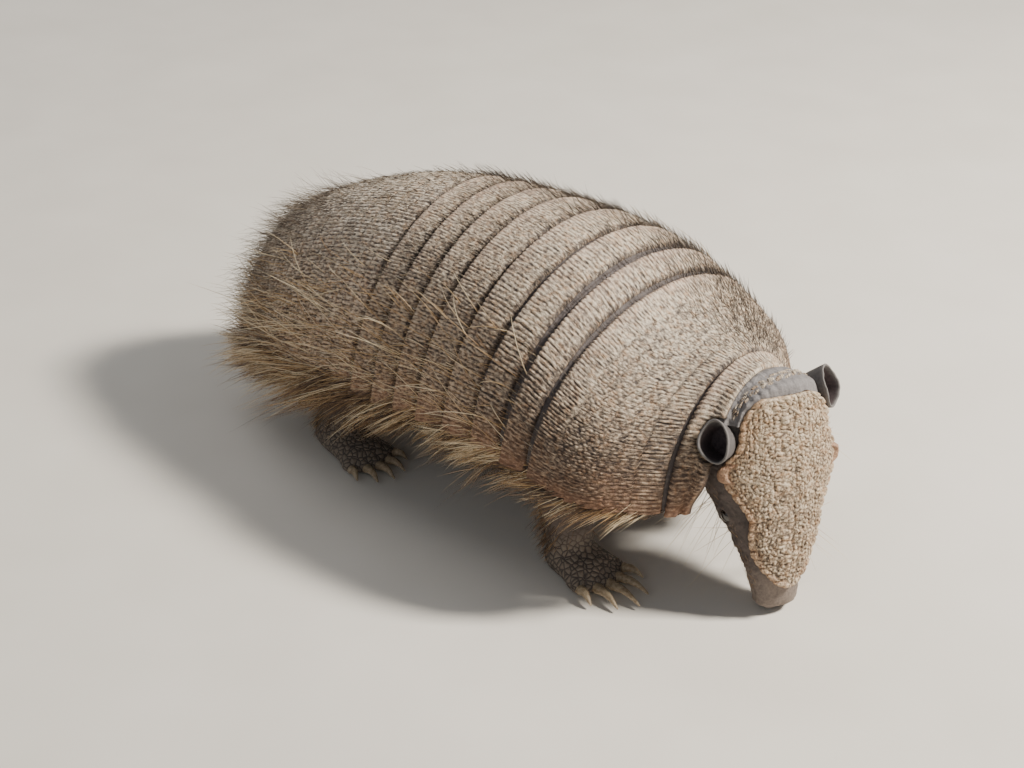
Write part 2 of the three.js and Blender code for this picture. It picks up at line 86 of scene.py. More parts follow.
# Distance from the shield's rear edge, half width, top line, bottom line.
HEAD_STATIONS = np.array([
    [-2, 9, -7.0, -14],
    [1, 16, -3.6, -18],
    [5, 20.5, -2.6, -24],
    [12, 25, -2.9, -32],
    [22, 27.5, -3.0, -39],
    [34, 28.5, -3.0, -41],
    [46, 26.0, -3.0, -38],
    [58, 21.5, -3.0, -32],
    [70, 16.5, -3.0, -26],
    [82, 12.6, -3.4, -22],
    [92, 10.4, -4.0, -20],
    [98, 9.4, -5.0, -19],
    [100.5, 7.6, -7.0, -17],
])
# Distance from the same place, half of the angle that the shield spans.
HEAD_SHIELD_STATIONS = np.array([
    [3, 0.52], [5, 0.64], [11, 0.74], [24, 0.76], [34.5, 1.08], [43, 0.94], [56, 0.72],
    [66, 0.89], [72, 0.94], [77, 0.85], [82, 0.62], [86, 0.40], [88.6, 0.16],
])
HEAD_SHIELD_TURN = 0.12        # how far round to the left the shield's middle lies
HEAD_PLATE = 2.4
SECTION_ROUNDNESS = 2.4
EAR_MOUTHS = {"right": (18, -31, 0), "left": (6, 26, -9.5)}
EAR_DEPTH = 17.0
EAR_RADII = ((5.5, 5.0), (8.1, 6.8))
EAR_TIP = 2.4
EAR_FLARE = 0.7
EAR_WALL = 1.05
EAR_OPENS = (-0.3, 0.62, 0.7)
EAR_STANDS = (-1, 0.15, 0)
EYE_RADIUS = 3.6
EYE_AT = (56, 19.2, -13.5)

# Neck and legs: x, y, z, half width, half height. The foot's and the claws' sizes follow.
NECK = np.array([
    [114, -8, 75, 33, 23], [128, -10, 76, 33, 23], [139, -11, 78, 25, 20], [151, -14, 82, 17, 15],
], float)
FRONT_LEG = np.array([
    [62, -40, 56, 19, 19], [66, -46, 43, 16, 17], [71, -50, 28, 12.5, 13.5],
    [74, -52, 15, 11, 11.5], [76, -53, 6, 10.5, 11],
], float)
HIND_LEG = np.array([
    [-70, -28, 50, 20, 27], [-68, -38, 37, 17, 22], [-71, -44, 26, 13.5, 16],
    [-76, -47, 15, 11, 12], [-78, -47, 6, 10, 11],
], float)
FRONT_FOOT = {"heel": (67, -52, 9), "ball": (91, -55.5, 7), "width": 13.5, "height": 8.5}
HIND_FOOT = {"heel": (-86, -47, 8.5), "ball": (-52, -53, 6.5), "width": 13.0, "height": 8.0}
FRONT_CLAWS = (9, 15, 17, 14, 9)
HIND_CLAWS = (7, 10, 11, 10, 7)
TOE_LENGTH = 9.0
TOE_RADIUS = 3.9
TOE_SPREAD = 0.74
TOE_SPLAY = 0.30
TOE_ARC = 5.0
TOE_START = 1.5
SOLE_SINK = 0.62
TOE_SINK = 0.85
CLAW_ROOT = (2.65, 2.95)
CLAW_TIP = 0.35
CLAW_ARCH = 1.4
CLAW_TIP_HEIGHT = 2.2
TAIL_PATH = np.array([
    [-136, -10, 46, 14.5], [-149, -9, 29, 12.5], [-159, -4, 17, 10.8], [-172, 8, 8.9, 9.2],
    [-185, 24, 6.9, 7.2], [-195, 42, 4.7, 5.0], [-200, 58, 2.4, 2.6],
], float)

# ---------- Numbers and noise ----------


def smooth(stations, column, at):
    """A value through stations: cubic Hermite with slopes from the neighbours, held at both ends."""
    xs, ys = stations[:, 0], stations[:, column]
    spots, last = np.arange(len(xs)), len(xs) - 1
    before, after = np.maximum(spots - 1, 0), np.minimum(spots + 1, last)
    slope = (ys[after] - ys[before]) / (xs[after] - xs[before])
    x = np.clip(at, xs[0], xs[-1])
    i = np.clip(np.searchsorted(xs, x, side="left") - 1, 0, last - 1)
    span, rise = xs[i + 1] - xs[i], ys[i + 1] - ys[i]
    t = (x - xs[i]) / span
    m0, m1 = slope[i] * span, slope[i + 1] * span
    return ys[i] + m0 * t + (3 * rise - 2 * m0 - m1) * t ** 2 + (m0 + m1 - 2 * rise) * t ** 3


def ease(low, high, x):
    """A smooth step from 0 at low to 1 at high."""
    t = np.clip((x - low) / (high - low), 0, 1)
    return t * t * (3 - 2 * t)


def bell(x, middle, width):
    """A bump of height 1 round a middle: e to the minus square."""
    return np.exp(-((x - middle) / width) ** 2)


def unit(v):
    """Vectors over their lengths."""
    return v / np.maximum(np.linalg.norm(v, axis=-1, keepdims=True), 1e-9)


def circle(n, end=2 * PI):
    """Angles evenly round a circle up to its end, as one row."""
    return np.linspace(end - 2 * PI, end, n, endpoint=False)[None, :]


def chance(a, b, seed):
    """A number from 0 to 1 for each pair of whole numbers, the fraction of a large sine."""
    return np.modf(np.abs(np.sin(a * 127.1 + b * 311.7 + seed * 74.7) * 43758.5453))[0]


def ripple(p, size, seed, waves=9):
    """Smooth noise from -1 to 1: the mean of sine waves of about one length in random directions."""
    draw = np.random.default_rng(seed)
    k = unit(draw.normal(size=(waves, 3))) * draw.uniform(0.7, 1.5, (waves, 1)) * 2 * PI / size
    return np.sin(p @ k.T + draw.uniform(0, 2 * PI, waves)).sum(-1) / np.sqrt(waves)


# ---------- Meshes ----------

STEP = 6                       # rows of a plate's fine outer grid to one row of its inner grid


def grid_faces(rows, columns, wrap=False):
    """Quads of a grid whose points run along its rows; wrap joins the last column to the first."""
    i, j = np.meshgrid(np.arange(rows - 1), np.arange(columns if wrap else columns - 1), indexing="ij")
    k, near, far = (j + 1) % columns, i * columns, (i + 1) * columns
    return np.stack([near + j, far + j, far + k, near + k], -1).reshape(-1, 4)


def grid_normals(p, wrap=False):
    """Unit normals of a grid of points, from central differences along rows and columns."""
    around = np.roll(p, -1, axis=1) - np.roll(p, 1, axis=1) if wrap else np.gradient(p, axis=1)
    return unit(np.cross(np.gradient(p, axis=0), around))


def outward(points, faces):
    """Faces turned outwards, by the signed volume: a sixth of the triple products over their triangles."""
    points, total = points - points.mean(0), 0.0
    for f in faces:
        for k in range(1, f.shape[1] - 1):
            a, b, c = points[f[:, 0]], points[f[:, k]], points[f[:, k + 1]]
            total += np.einsum("ij,ij->i", a, np.cross(b, c)).sum()
    return faces if total >= 0 else [f[:, ::-1] for f in faces]


def linked(name, data):
    """A new object in the scene."""
    piece = bpy.data.objects.new(name, data)
    bpy.context.collection.objects.link(piece)
    return piece


def build(name, points, faces, finish=None):
    """A closed mesh object from points in body coordinates, with its faces turned outwards."""
    points = np.asarray(points, float).reshape(-1, 3)
    faces = outward(points, faces)
    mesh = bpy.data.meshes.new(name)
    corners = np.concatenate([f.ravel() for f in faces]).astype(np.int32)
    sizes = np.concatenate([np.full(len(f), f.shape[1]) for f in faces])
    mesh.vertices.add(len(points))
    mesh.vertices.foreach_set("co", ((points + ORIGIN) * MM).astype(np.float32).ravel())
    mesh.loops.add(len(corners))
    mesh.loops.foreach_set("vertex_index", corners)
    mesh.polygons.add(len(sizes))
    mesh.polygons.foreach_set("loop_start", (np.cumsum(sizes) - sizes).astype(np.int32))
    mesh.polygons.foreach_set("use_smooth", np.ones(len(sizes), bool))
    mesh.update(calc_edges=True)
    if finish:
        mesh.materials.append(finish)
    return linked(name, mesh)


def mark(piece, name, values):
    """Stores one number for each point of a piece, for its material to read."""
    layer = piece.data.attributes.new(name, "FLOAT", "POINT")
    layer.data.foreach_set("value", np.asarray(values, np.float32).ravel())


def tube(loops):
    """A closed body from loops of points (rows, columns, 3), each end closed by a fan."""
    rows, columns = loops.shape[:2]
    count = rows * columns
    points = np.concatenate([loops.reshape(-1, 3), [loops[0].mean(0), loops[-1].mean(0)]])
    j = np.arange(columns)
    k, last = (j + 1) % columns, count - columns
    first = np.stack([np.full(columns, count), j, k], -1)
    return points, [grid_faces(rows, columns, wrap=True), first,
                    np.stack([np.full(columns, count + 1), last + k, last + j], -1)]


def plate(name, outer, inner, finish, **marks):
    """A closed plate: a fine outer grid, an inner one on every STEP-th row, and walls round the edge. The
    finish reads marks, which are 0 on the inner points."""
    rows, columns = outer.shape[:2]
    inner = inner[::STEP]
    base, coarse = rows * columns, len(inner)
    faces = [grid_faces(rows, columns), base + grid_faces(coarse, columns)[:, ::-1]]
    j, r = np.arange(columns - 1), np.arange(coarse - 1)[:, None]
    for o, i, flip in ((0, base, 1), (base - columns, base + (coarse - 1) * columns, -1)):
        faces.append(np.stack([o + j, o + j + 1, i + j + 1, i + j], -1)[:, ::flip])
    for c, flip in ((0, -1), (columns - 1, 1)):
        edge = (r * STEP + np.arange(STEP + 1)) * columns + c
        back = base + (r + np.array([[1, 0]])) * columns + c
        faces.append(np.concatenate([edge, back], -1)[:, ::flip])
    piece = build(name, np.concatenate([outer.reshape(-1, 3), inner.reshape(-1, 3)]), faces, finish)
    for key, values in marks.items():
        values = np.broadcast_to(values, (rows, columns)).ravel()
        mark(piece, key, np.append(values, np.zeros(inner.size // 3)))
    return piece


def rolled(depth, width, *gaps):
    """How far a surface drops near its edges: a quarter of an ellipse of a depth and a width at each."""
    return sum(depth * (1 - np.sqrt(1 - (1 - np.clip(gap / width, 0, 1)) ** 2)) for gap in gaps)


# ---------- The shell's surface ----------

NUDGE = 0.002                  # difference in place or angle that directions are taken over


def shell_surface(u, angle):
    """Half ellipse over each place: angle 0 is the right rim, pi the left one."""
    u, angle = np.broadcast_arrays(u, angle)
    x = (u - 0.5) * SHELL_LENGTH
    half, crest, rim = (smooth(SHELL_STATIONS, k, u) for k in (1, 2, 3))
    return np.stack([x, SIDE_BEND * x * x - half * np.cos(angle), rim + (crest - rim) * np.sin(angle)], -1)


def shell_at(place, angle):
    """Point, outward normal and direction towards the head at a seam's place and an angle."""
    fade = np.clip((place - SHELL_REAR) / LEAN_FADE, 0, 1)
    lean = (SEAM_LEAN_REAR + (SEAM_LEAN_FRONT - SEAM_LEAN_REAR) * place) * fade
    u = place - lean * (1 - np.sin(angle)) / SHELL_LENGTH
    along = shell_surface(u + NUDGE, angle) - shell_surface(u - NUDGE, angle)
    around = shell_surface(u, angle + NUDGE) - shell_surface(u, angle - NUDGE)
    return shell_surface(u, angle), unit(np.cross(along, around)), unit(along)


def from_rim(place, rise, side):
    """The same at an angle up from the right rim (side -1) or the left one (1)."""
    return shell_at(place, rise if side < 0 else PI - rise)


def ring_length(place):
    """Arc from rim to rim at a place, by summing short chords."""
    return np.linalg.norm(np.diff(shell_at(place, np.linspace(0, PI, 60))[0], axis=0), axis=-1).sum()


# ---------- Scutes ----------

SCUTE_WIDTH = 6.6
LANES = 3                      # ridges side by side on one scute
PEBBLE = 3.4                   # length of one pebble of the shields
GRID = (0.6, 0.42)             # spacing of the fine outer grids, along and across
GROOVE = 0.30                  # depth of the grooves between scutes
ROLL = (1.1, 0.8)              # depth and width of a plate's rolled edges
REAR_LIP = (0.45, 5.0)         # height of a plate's raised rear edge, and the length that it fades over
WAVER = 0.35                   # how far the borders of the scutes' rows wander
RUST_REACH = 26                # how far up from the rims the rust colour goes
SERRATION = 2.6                # how far the scutes of the rims stand out
NUCHAL_CORNER = 7.0            # how far the nuchal plate's front edge draws back at the rims
DOWN = np.array([0.0, 0.0, -1.0])


def cells(a, b, seed, spread=(0.5, 0.7), shift=0.5):
    """Cells round one scattered spot in each unit square, odd columns shifted: the distance to the next
    cell's border, and a number for each cell."""
    a, b = np.broadcast_arrays(a, b)
    near = np.full(a.shape, 9.0)
    second, which = near.copy(), np.zeros(a.shape)
    for di in (-1, 0, 1):
        i = np.floor(a) + di
        lift = shift * (i % 2)
        for dj in (-1, 0, 1):
            j = np.floor(b - lift) + dj
            x = i + 0.5 + spread[0] * (chance(i, j, seed) - 0.5)
            y = j + lift + 0.5 + spread[1] * (chance(j, i, seed + 1) - 0.5)
            gap = np.hypot(a - x, b - y)
            closer = gap < near
            second = np.where(closer, near, np.minimum(second, gap))
            which = np.where(closer, chance(i, j, seed + 2), which)
            near = np.where(closer, gap, near)
    return (second - near) / 2, which


def stripes(lane, along, t, seed):
    """Long ridges that round off at the rear and fade out unevenly towards the front: height and paleness."""
    index = np.floor(lane)
    off = np.abs(lane - index - 0.5) * 2
    reach = 0.72 + 0.30 * chance(index, 1, seed)
    fade = 1 - ease(reach - 0.10, reach + 0.10, t)
    worn = 0.55 + 0.45 * chance(index, np.floor(along / 2.3 + 9 * chance(index, 2, seed)), seed + 1)
    rear = np.sqrt(np.clip(along / 1.3, 0, 1))
    level = 0.85 + 0.3 * chance(index, 3, seed)
    gully = (1 - ease(0.30, 0.62, 1 - off)) * worn
    pale = (1 - 0.8 * gully * fade) * (0.45 + 0.55 * rear) * (0.88 + 0.12 * fade)
    return 0.50 * (1 - off ** 2.2) * rear * level * fade, pale


def pebbles(lane, along, row, seed):
    """Small long cobbles in lanes, each of its own height: height and paleness."""
    gap, which = cells(lane + 57 * row, along / PEBBLE, seed, (0.26, 0.75))
    worn = 0.5 + 0.5 * chance(np.floor(lane), np.floor(along / 2.6), seed + 5)
    return 0.46 * (0.75 + 0.5 * which) * ease(0.0, 0.34, gap), 1 - 0.75 * worn * (1 - ease(0.05, 0.24, gap))


def armour(name, seams, folds, finish, rows=(1,), striped=(0,), crown=0.0, seed=1, grid=GRID, worn=0.0,
           lanes=LANES, faint=0.0):
    """A shell plate between two seams, as a height over the shell: lanes of ridges on the striped rows and
    of pebbles on the others, a groove round each scute, the rear edge raised, and every edge rolled over.

    rows holds the scutes' lengths from rear to front; worn smooths the top of the back, faint the whole."""
    start, end = seams[0] + folds[0] / 2 / SHELL_LENGTH, seams[1] - folds[1] / 2 / SHELL_LENGTH
    n_rows = int(np.ceil((end - start) * SHELL_LENGTH / grid[0] / STEP)) * STEP + 1
    n_columns = int(max(ring_length(p) for p in np.linspace(start, end, 5)) / grid[1])
    place = np.linspace(start, end, n_rows)[:, None]
    place, angle = np.broadcast_arrays(place, np.linspace(0, PI, n_columns))
    point, normal, front = shell_at(place, angle)
    high = np.sin(angle)

    bounds = start + (end - start) * np.append(0, np.cumsum(rows)) / np.sum(rows)
    inside = np.clip(place + WAVER / SHELL_LENGTH * ripple(point, 7.0, seed, 6), start, end - 1e-6)
    row = np.clip(np.searchsorted(bounds, inside, side="right") - 1, 0, len(rows) - 1)
    span = bounds[row + 1] - bounds[row]
    along, length = (inside - bounds[row]) / span, span * SHELL_LENGTH
    middles = (bounds[1:] + bounds[:-1]) / 2
    counts = np.array([round(ring_length(p) / SCUTE_WIDTH) for p in middles])[row]
    lane = (angle + 0.0025 * ripple(point, 9.0, seed + 1, 6)) / PI * counts * lanes
    column = np.floor(lane / lanes)
    is_striped = np.isin(row, striped)
    side_gap = (0.5 - np.abs(lane / lanes - column - 0.5)) * SCUTE_WIDTH
    end_gap = np.minimum(along, 1 - along) * length
    border = np.where(is_striped & (row == 0), side_gap, np.minimum(side_gap, end_gap))
    low_front = ease(0.60, 0.82, place) * ease(0.80, 0.35, high)
    smoothed = (1 - worn * ease(0.5, 0.95, high)) * (1 - faint) * (1 - 0.12 * low_front)
    groove = (1 - ease(0.0, 0.5, border)) * (0.35 + 0.4 * chance(column, row, seed + 4)) * smoothed
    bump, pale = np.where(is_striped, stripes(lane + 31 * row, along * length, along, seed),
                          pebbles(lane, along * length * lanes / LANES, row, seed))
    pale = 1 - (1 - pale) * smoothed
    speck = ripple(point, 1.7, seed + 2, 10)
    height = bump * smoothed - GROOVE * groove + 0.16 * (chance(column, row, seed + 7) - 0.5) + 0.07 * speck

    t = (place - start) / (end - start)
    rear, fore = (place - start) * SHELL_LENGTH, (end - place) * SHELL_LENGTH
    crest, side = (smooth(SHELL_STATIONS, k, place) for k in (2, 3))
    rim = np.minimum(angle, PI - angle) * (crest - side)
    height = height + (crown * (1 - 1.5 * t ** 1.3) if crown else REAR_LIP[0] * np.exp(-rear / REAR_LIP[1]))
    height = height - rolled(*ROLL, rear, fore, rim)
    lobes = 0.7 * (1 - (np.abs(lane - np.floor(lane) - 0.5) * 2) ** 3) * np.exp(-rear / 1.2)
    point_out = (1 - along) ** 0.8 * SERRATION * np.exp(-rim / 5.0) * (0.6 + 0.4 * chance(row, 1, seed + 6))
    outer = point + normal * height[..., None] - front * (lobes + 0.8 * point_out)[..., None]
    outer = outer + DOWN * point_out[..., None]
    # The second value darkens each plate near its front edge: painted shadow from the raised rear lip of the
    # plate in front, together with dirt in the seam.
    inner, seam_shade_and_dirt = point - normal * PLATE, 1 - 0.55 * ease(2.6, 0.4, fore)
    if seams[1] == SHELL_FRONT:
        corner = NUCHAL_CORNER * (t * ease(24, 0, rim) ** 1.5)[..., None] * front
        # The nuchal plate's front edge is free, so it gets no painted seam shadow.
        outer, inner, seam_shade_and_dirt = clear_of_ear(outer - corner), clear_of_ear(inner - corner), 1.0
    # Painted highlight: the top of the rump is made up to 18% paler, as if lit more strongly from above.
    rump_top_highlight = 1 + 0.18 * ease(0.34, 0.27, place) * ease(0.75, 0.98, high)
    # Paleness along the back: the rear bands' own darker tone, times the painted highlight and painted seam
    # shadow above, times painted shade on the low front flank that makes it up to 40% darker.
    tone_and_painted_light = np.interp(place, [0.34, 0.40, 0.70], [1.0, 0.84, 1.0]) * rump_top_highlight * seam_shade_and_dirt * (1 - 0.40 * low_front)
    edge = ease(RUST_REACH, 2, rim) * (0.40 + 0.14 * ease(0.2, 0.5, place))
    edge = edge + 0.40 * ease(8, 1, rim) * ease(0.25, 0.5, place)
    return plate(name, outer, inner, finish, tone=chance(column, row, seed + 9), top=high, margin=edge,
                 pale=np.clip(pale * (1 - 0.55 * groove) + 0.10 * speck, 0, 1) * tone_and_painted_light,
                 across=counts * SCUTE_WIDTH * angle / PI, along=place * SHELL_LENGTH,
                 tip=np.exp(-rear / 2.6) * (1 - ease(0.3, 0.9, np.abs(np.cos(angle)))))


def clear_of_ear(p):
    """Points of the nuchal plate pressed back below the right ear's base wherever its funnel passes."""
    outwards = ear_frame(-1)[1]
    depth, high, wide = ear_coordinates(p, -1)
    long, short = (b + 0.4 for b in EAR_RADII[1])
    press = ease(1.3, 1.02, np.hypot(high / long, wide / short)) * ease(-1.5 * EAR_DEPTH, -EAR_DEPTH, depth)
    return p - outwards * (press * np.maximum(depth + EAR_DEPTH, 0))[..., None]


# ---------- The head's surface ----------

SNOUTWARDS = np.array([
    np.cos(HEAD_PITCH) * np.cos(HEAD_YAW),
    np.cos(HEAD_PITCH) * np.sin(HEAD_YAW),
    -np.sin(HEAD_PITCH),
])
HEAD_LEFT = np.array([-np.sin(HEAD_YAW), np.cos(HEAD_YAW), 0.0])
SHIELDWARDS = np.cross(SNOUTWARDS, HEAD_LEFT)
COBBLE = 1.95                  # size of the small bumps of the head shield
# Distance down the head and number of scutes of each row of the head shield.
HEAD_ROWS = ((7, 5), (15, 6), (23, 7), (31, 8), (39, 8), (47, 7), (54, 6), (61, 6), (68, 6), (75, 5), (81, 3),
             (86, 2))
# Distances down the head that part the scutes of the shield's margin; the brow's is the largest.
MARGIN_CUTS = np.array([
    -4, 1.5, 6.5, 11, 16, 21, 25.5, 30.2, 39.4, 44, 48.5, 52.5, 57, 61, 65.5, 70, 74, 78, 81.5, 85, 90])
BROW = 7
BROW_DEPTH = 6.4               # how far the brow's scute reaches in from the edge
HEAD_ROLL = (1.2, 1.1)


def head_point(down, left, out):
    """A point from its distances down the snout, to the head's left and out through the shield."""
    down, left, out = (np.asarray(v, float)[..., None] for v in (down, left, out))
    return HEAD_AT + down * SNOUTWARDS + left * HEAD_LEFT + out * SHIELDWARDS


def head_coordinates(p):
    """Distances down the snout, to the left and out, of points in body coordinates."""
    return (p - HEAD_AT) @ np.stack([SNOUTWARDS, HEAD_LEFT, SHIELDWARDS], -1)


def head_surface(down, angle, margin=0.0):
    """Superellipse across the snout at each distance down it; angle 0 is the middle of the shield."""
    down, angle = np.broadcast_arrays(np.asarray(down, float), angle)
    half, top, bottom = (smooth(HEAD_STATIONS, k, down) for k in (1, 2, 3))
    side, out = (np.sign(v) * np.abs(v) ** (2 / SECTION_ROUNDNESS) for v in (np.sin(angle), np.cos(angle)))
    return head_point(down, (half + margin) * side, (top + bottom) / 2 + ((top - bottom) / 2 + margin) * out)


def head_shield(finish):
    """The shield over the forehead and snout: a plate over the head's surface, covered with small cobbles,
    with shallow grooves round groups of them and one row of larger, smoother scutes along its margin."""
    rows, columns = 217, 145
    down = np.linspace(HEAD_SHIELD_STATIONS[0, 0], HEAD_SHIELD_STATIONS[-1, 0], rows)[:, None]
    t = np.linspace(-1, 1, columns)[None, :]
    cut = np.searchsorted(MARGIN_CUTS, down, side="right") - 1
    share = (down - MARGIN_CUTS[cut]) / (MARGIN_CUTS[cut + 1] - MARGIN_CUTS[cut])
    reach = smooth(HEAD_SHIELD_STATIONS, 1, down) * (1 - 0.035 * np.abs(2 * share - 1) ** 3)
    angle = HEAD_SHIELD_TURN + reach * t
    base = head_surface(down, angle, 0.35 + HEAD_PLATE)
    half = smooth(HEAD_STATIONS, 1, down) * 1.02
    across = reach * t * half

    seeds = []
    for r, (at, count) in enumerate(HEAD_ROWS):
        widest = smooth(HEAD_SHIELD_STATIONS, 1, at) * smooth(HEAD_STATIONS, 1, at) * 1.02
        spots = np.linspace(-widest, widest, count + 1)
        spots = (spots[1:] + spots[:-1]) / 2
        nudge = 1.5 * (chance(np.abs(spots) // 1, r, 5) - 0.5)
        seeds.append(np.stack([spots + np.sign(spots) * nudge * 0.6, at + nudge], -1))
    warp = np.stack([ripple(base, 11.0, 31), ripple(base, 11.0, 32)], -1)
    plan = np.stack(np.broadcast_arrays(across, down), -1) + 0.9 * warp
    gaps = np.linalg.norm(plan[..., None, :] - np.concatenate(seeds), axis=-1)
    first, second = np.moveaxis(np.partition(gaps, 1, axis=-1)[..., :2], -1, 0)
    crack = 1 - ease(0.0, 0.55, (second - first) / 2)

    stone_gap, stone = cells(across / COBBLE, down / COBBLE, 37, (0.75, 0.75))
    side = (1 - np.abs(t)) * reach * half
    depth = np.where(cut == BROW, BROW_DEPTH, 3.2 + 0.8 * chance(cut, np.sign(t), 40))
    in_margin = ease(depth + 0.4, depth - 0.4, side)
    seam = np.minimum(np.abs(side - depth), np.minimum(share, 1 - share) * 7 + np.where(side < depth, 0, 9))
    grain = ripple(base, 1.5, 33, 12)
    cobble = 0.36 * ease(0.0, 0.32, stone_gap) * (0.3 + 1.4 * stone) - GROOVE * crack
    height = cobble * (1 - in_margin) + ease(0.0, 1.8, seam) * (0.62 + 0.8 * (cut == BROW)) * in_margin
    height = height - 0.2 * (1 - ease(0.0, 0.6, seam)) + 0.08 * grain + 0.25 * ripple(base, 7.0, 35)
    height = height - rolled(*HEAD_ROLL, side, np.minimum(down - down[0], down[-1] - down))
    pit = (1 - ease(0.04, 0.25, stone_gap)) * (0.14 + 0.58 * chance(np.floor(stone * 97), 1, 38))
    pale = (1 - pit * (1 - in_margin)) * (1 - 0.2 * (1 - ease(0.1, 0.7, seam)))
    pale = pale * (1 - 0.25 * (1 - ease(0.1, 0.6, (second - first) / 2)))
    own = (0.05 + 0.30 * chance(cut, np.sign(t), 39)) * np.where(cut == BROW + 1, 3.0, 1.0)
    own = np.where(cut == BROW, 1.3, own)
    lit = np.interp(down, [5, 32, 62], [1.18, 1.0, 0.87])
    outer = base + grid_normals(base) * height[..., None]
    # top falls along the shield's right edge, so the finish makes that side darker and warmer: partly its own
    # orange-brown, partly painted shade.
    return plate("head_shield_scutes", outer, head_surface(down, angle, 0.2), finish,
                 pale=np.clip(pale + 0.08 * grain, 0, 1) * lit, top=1 - 0.8 * ease(0.45, 1.0, -t), tip=0.0,
                 tone=chance(gaps.argmin(-1), 2, 36) * 0.5 + 0.5 * stone, margin=in_margin * own,
                 across=across, along=down)


# ---------- Flesh under the shell ----------

HAIR_DEPTH = 2.5               # how far the hairy skin lies inside the body's outline
SKIN_VOXEL = 1.95
SOFTENING = (0.5, 7)           # strength and number of the smoothing passes
SOLE = 0.15                    # height of the lowest skin above the floor


def swept(stations, sides, rows, inset=0.0, floor=-np.inf):
    """Ellipses carried along a smooth path through [x, y, z, half width, half height]."""
    table = np.column_stack([np.arange(len(stations)), stations])
    s = np.linspace(0, len(stations) - 1, rows)
    centre = np.stack([smooth(table, k, s) for k in (1, 2, 3)], -1)
    wide, tall = (np.maximum(smooth(table, k, s) - inset, 0.5)[:, None, None] for k in (4, 5))
    along = unit(np.gradient(centre, axis=0))
    up = unit(np.cross(along, [0.0, 1.0, 0.0]))
    a = circle(sides)[..., None]
    loops = centre[:, None] + np.cross(up, along)[:, None] * wide * np.cos(a) + up[:, None] * tall * np.sin(a)
    loops[..., 2] = np.maximum(loops[..., 2], floor)
    return loops


def belly_point(place, angle, inset=0.0):
    """The trunk below the rims: from the left rim (0) under the belly to the right one (pi)."""
    right, left = (shell_at(place, rim + 0.0 * place) for rim in (0, PI))
    right, left = right[0] - right[1] * TRUNK_DEPTH, left[0] - left[1] * TRUNK_DEPTH
    middle, half = (left + right) / 2, (left - right) / 2
    rise = 1 - BELLY_RISE * np.abs(place - BELLY_MIDDLE) ** 3
    drop = (middle[..., 2] - BELLY_HEIGHT) * rise - inset
    point = middle + half * np.cos(angle)[..., None]
    point[..., 2] -= drop * np.maximum(np.sin(angle), 0) ** BELLY_FULLNESS
    return point


def trunk_tube():
    """The trunk: under the shell, then round the belly, at places from the rump to the neck."""
    place = np.linspace(-0.04, 0.955, 130)[:, None]
    point, normal, _ = shell_at(place, np.linspace(0, PI, 120)[None, :])
    belly = belly_point(*np.broadcast_arrays(place, np.linspace(0, PI, 90)[None, 1:-1]), inset=HAIR_DEPTH)
    return tube(np.concatenate([point - normal * (TRUNK_DEPTH + 0.4), belly], 1))


def foot_plan(foot, side):
    """Heel, ball and the starts and headings of the five toes of a foot."""
    heel, ball = (np.array(foot[key], float) * [1, -side, 1] for key in ("heel", "ball"))
    forwards = unit((ball - heel) * [1, 1, 0])
    outwards = np.array([-forwards[1], forwards[0], 0]) * side
    t = np.linspace(-1, 1, 5)[:, None]
    start = ball + outwards * foot["width"] * TOE_SPREAD * t + forwards * (TOE_START - TOE_ARC * t * t)
    start[:, 2] = TOE_RADIUS * TOE_SINK
    return heel, ball, start, unit(forwards + outwards * TOE_SPLAY * t)


def leg_parts(stations, foot, side):
    """A limb, its foot and five toes as closed bodies that overlap."""
    heel, ball, start, heading = foot_plan(foot, side)
    # Of the foot: place from heel to ball, width and height as shares of its own.
    at, wide, tall = np.array([
        [0, 0.62, 0.85], [0.25, 0.86, 1.05], [0.6, 0.95, 1], [1, 1, 0.85], [1.16, 0.8, 0.6]]).T
    tall = foot["height"] * tall
    centre = heel + (ball - heel) * at[:, None]
    sole = np.column_stack([centre[:, :2], tall * SOLE_SINK, foot["width"] * wide, tall])
    parts = [swept(stations * [1, -side, 1, 1, 1], 40, 40, 0.7, SOLE), swept(sole, 40, 30, 0.3, SOLE)]
    # Of a toe: place along it and thickness.
    at, thick = np.array([[-0.6, 0.9], [-0.1, 0.9], [0.35, 1.06], [0.8, 0.95], [1.12, 0.55]]).T[..., None]
    thick = TOE_RADIUS * thick
    for s, h in zip(start, heading):
        parts.append(swept(np.column_stack([s + h * TOE_LENGTH * at, thick, thick]), 20, 16, 0.1, SOLE))
    return [tube(p) for p in parts]


# ---------- Head, ears and tail ----------

MOUTH_ANGLE = 2.35
MOUTH_CORNER = 62              # distance down the head
NOSE_START = 97.6
NOSE_DOME = 2.9                # how far the nose rounds out beyond that
NOSE_LAST = 98.5               # distance down the head whose section the dome keeps
NOSTRIL = (3.6, -10.2)         # to each side and out
EYE_OPENING = (3.3, 2.3)       # half length and half height of the opening between the lids
HEAD_GRID = (172, 206)         # rows to the nose and columns


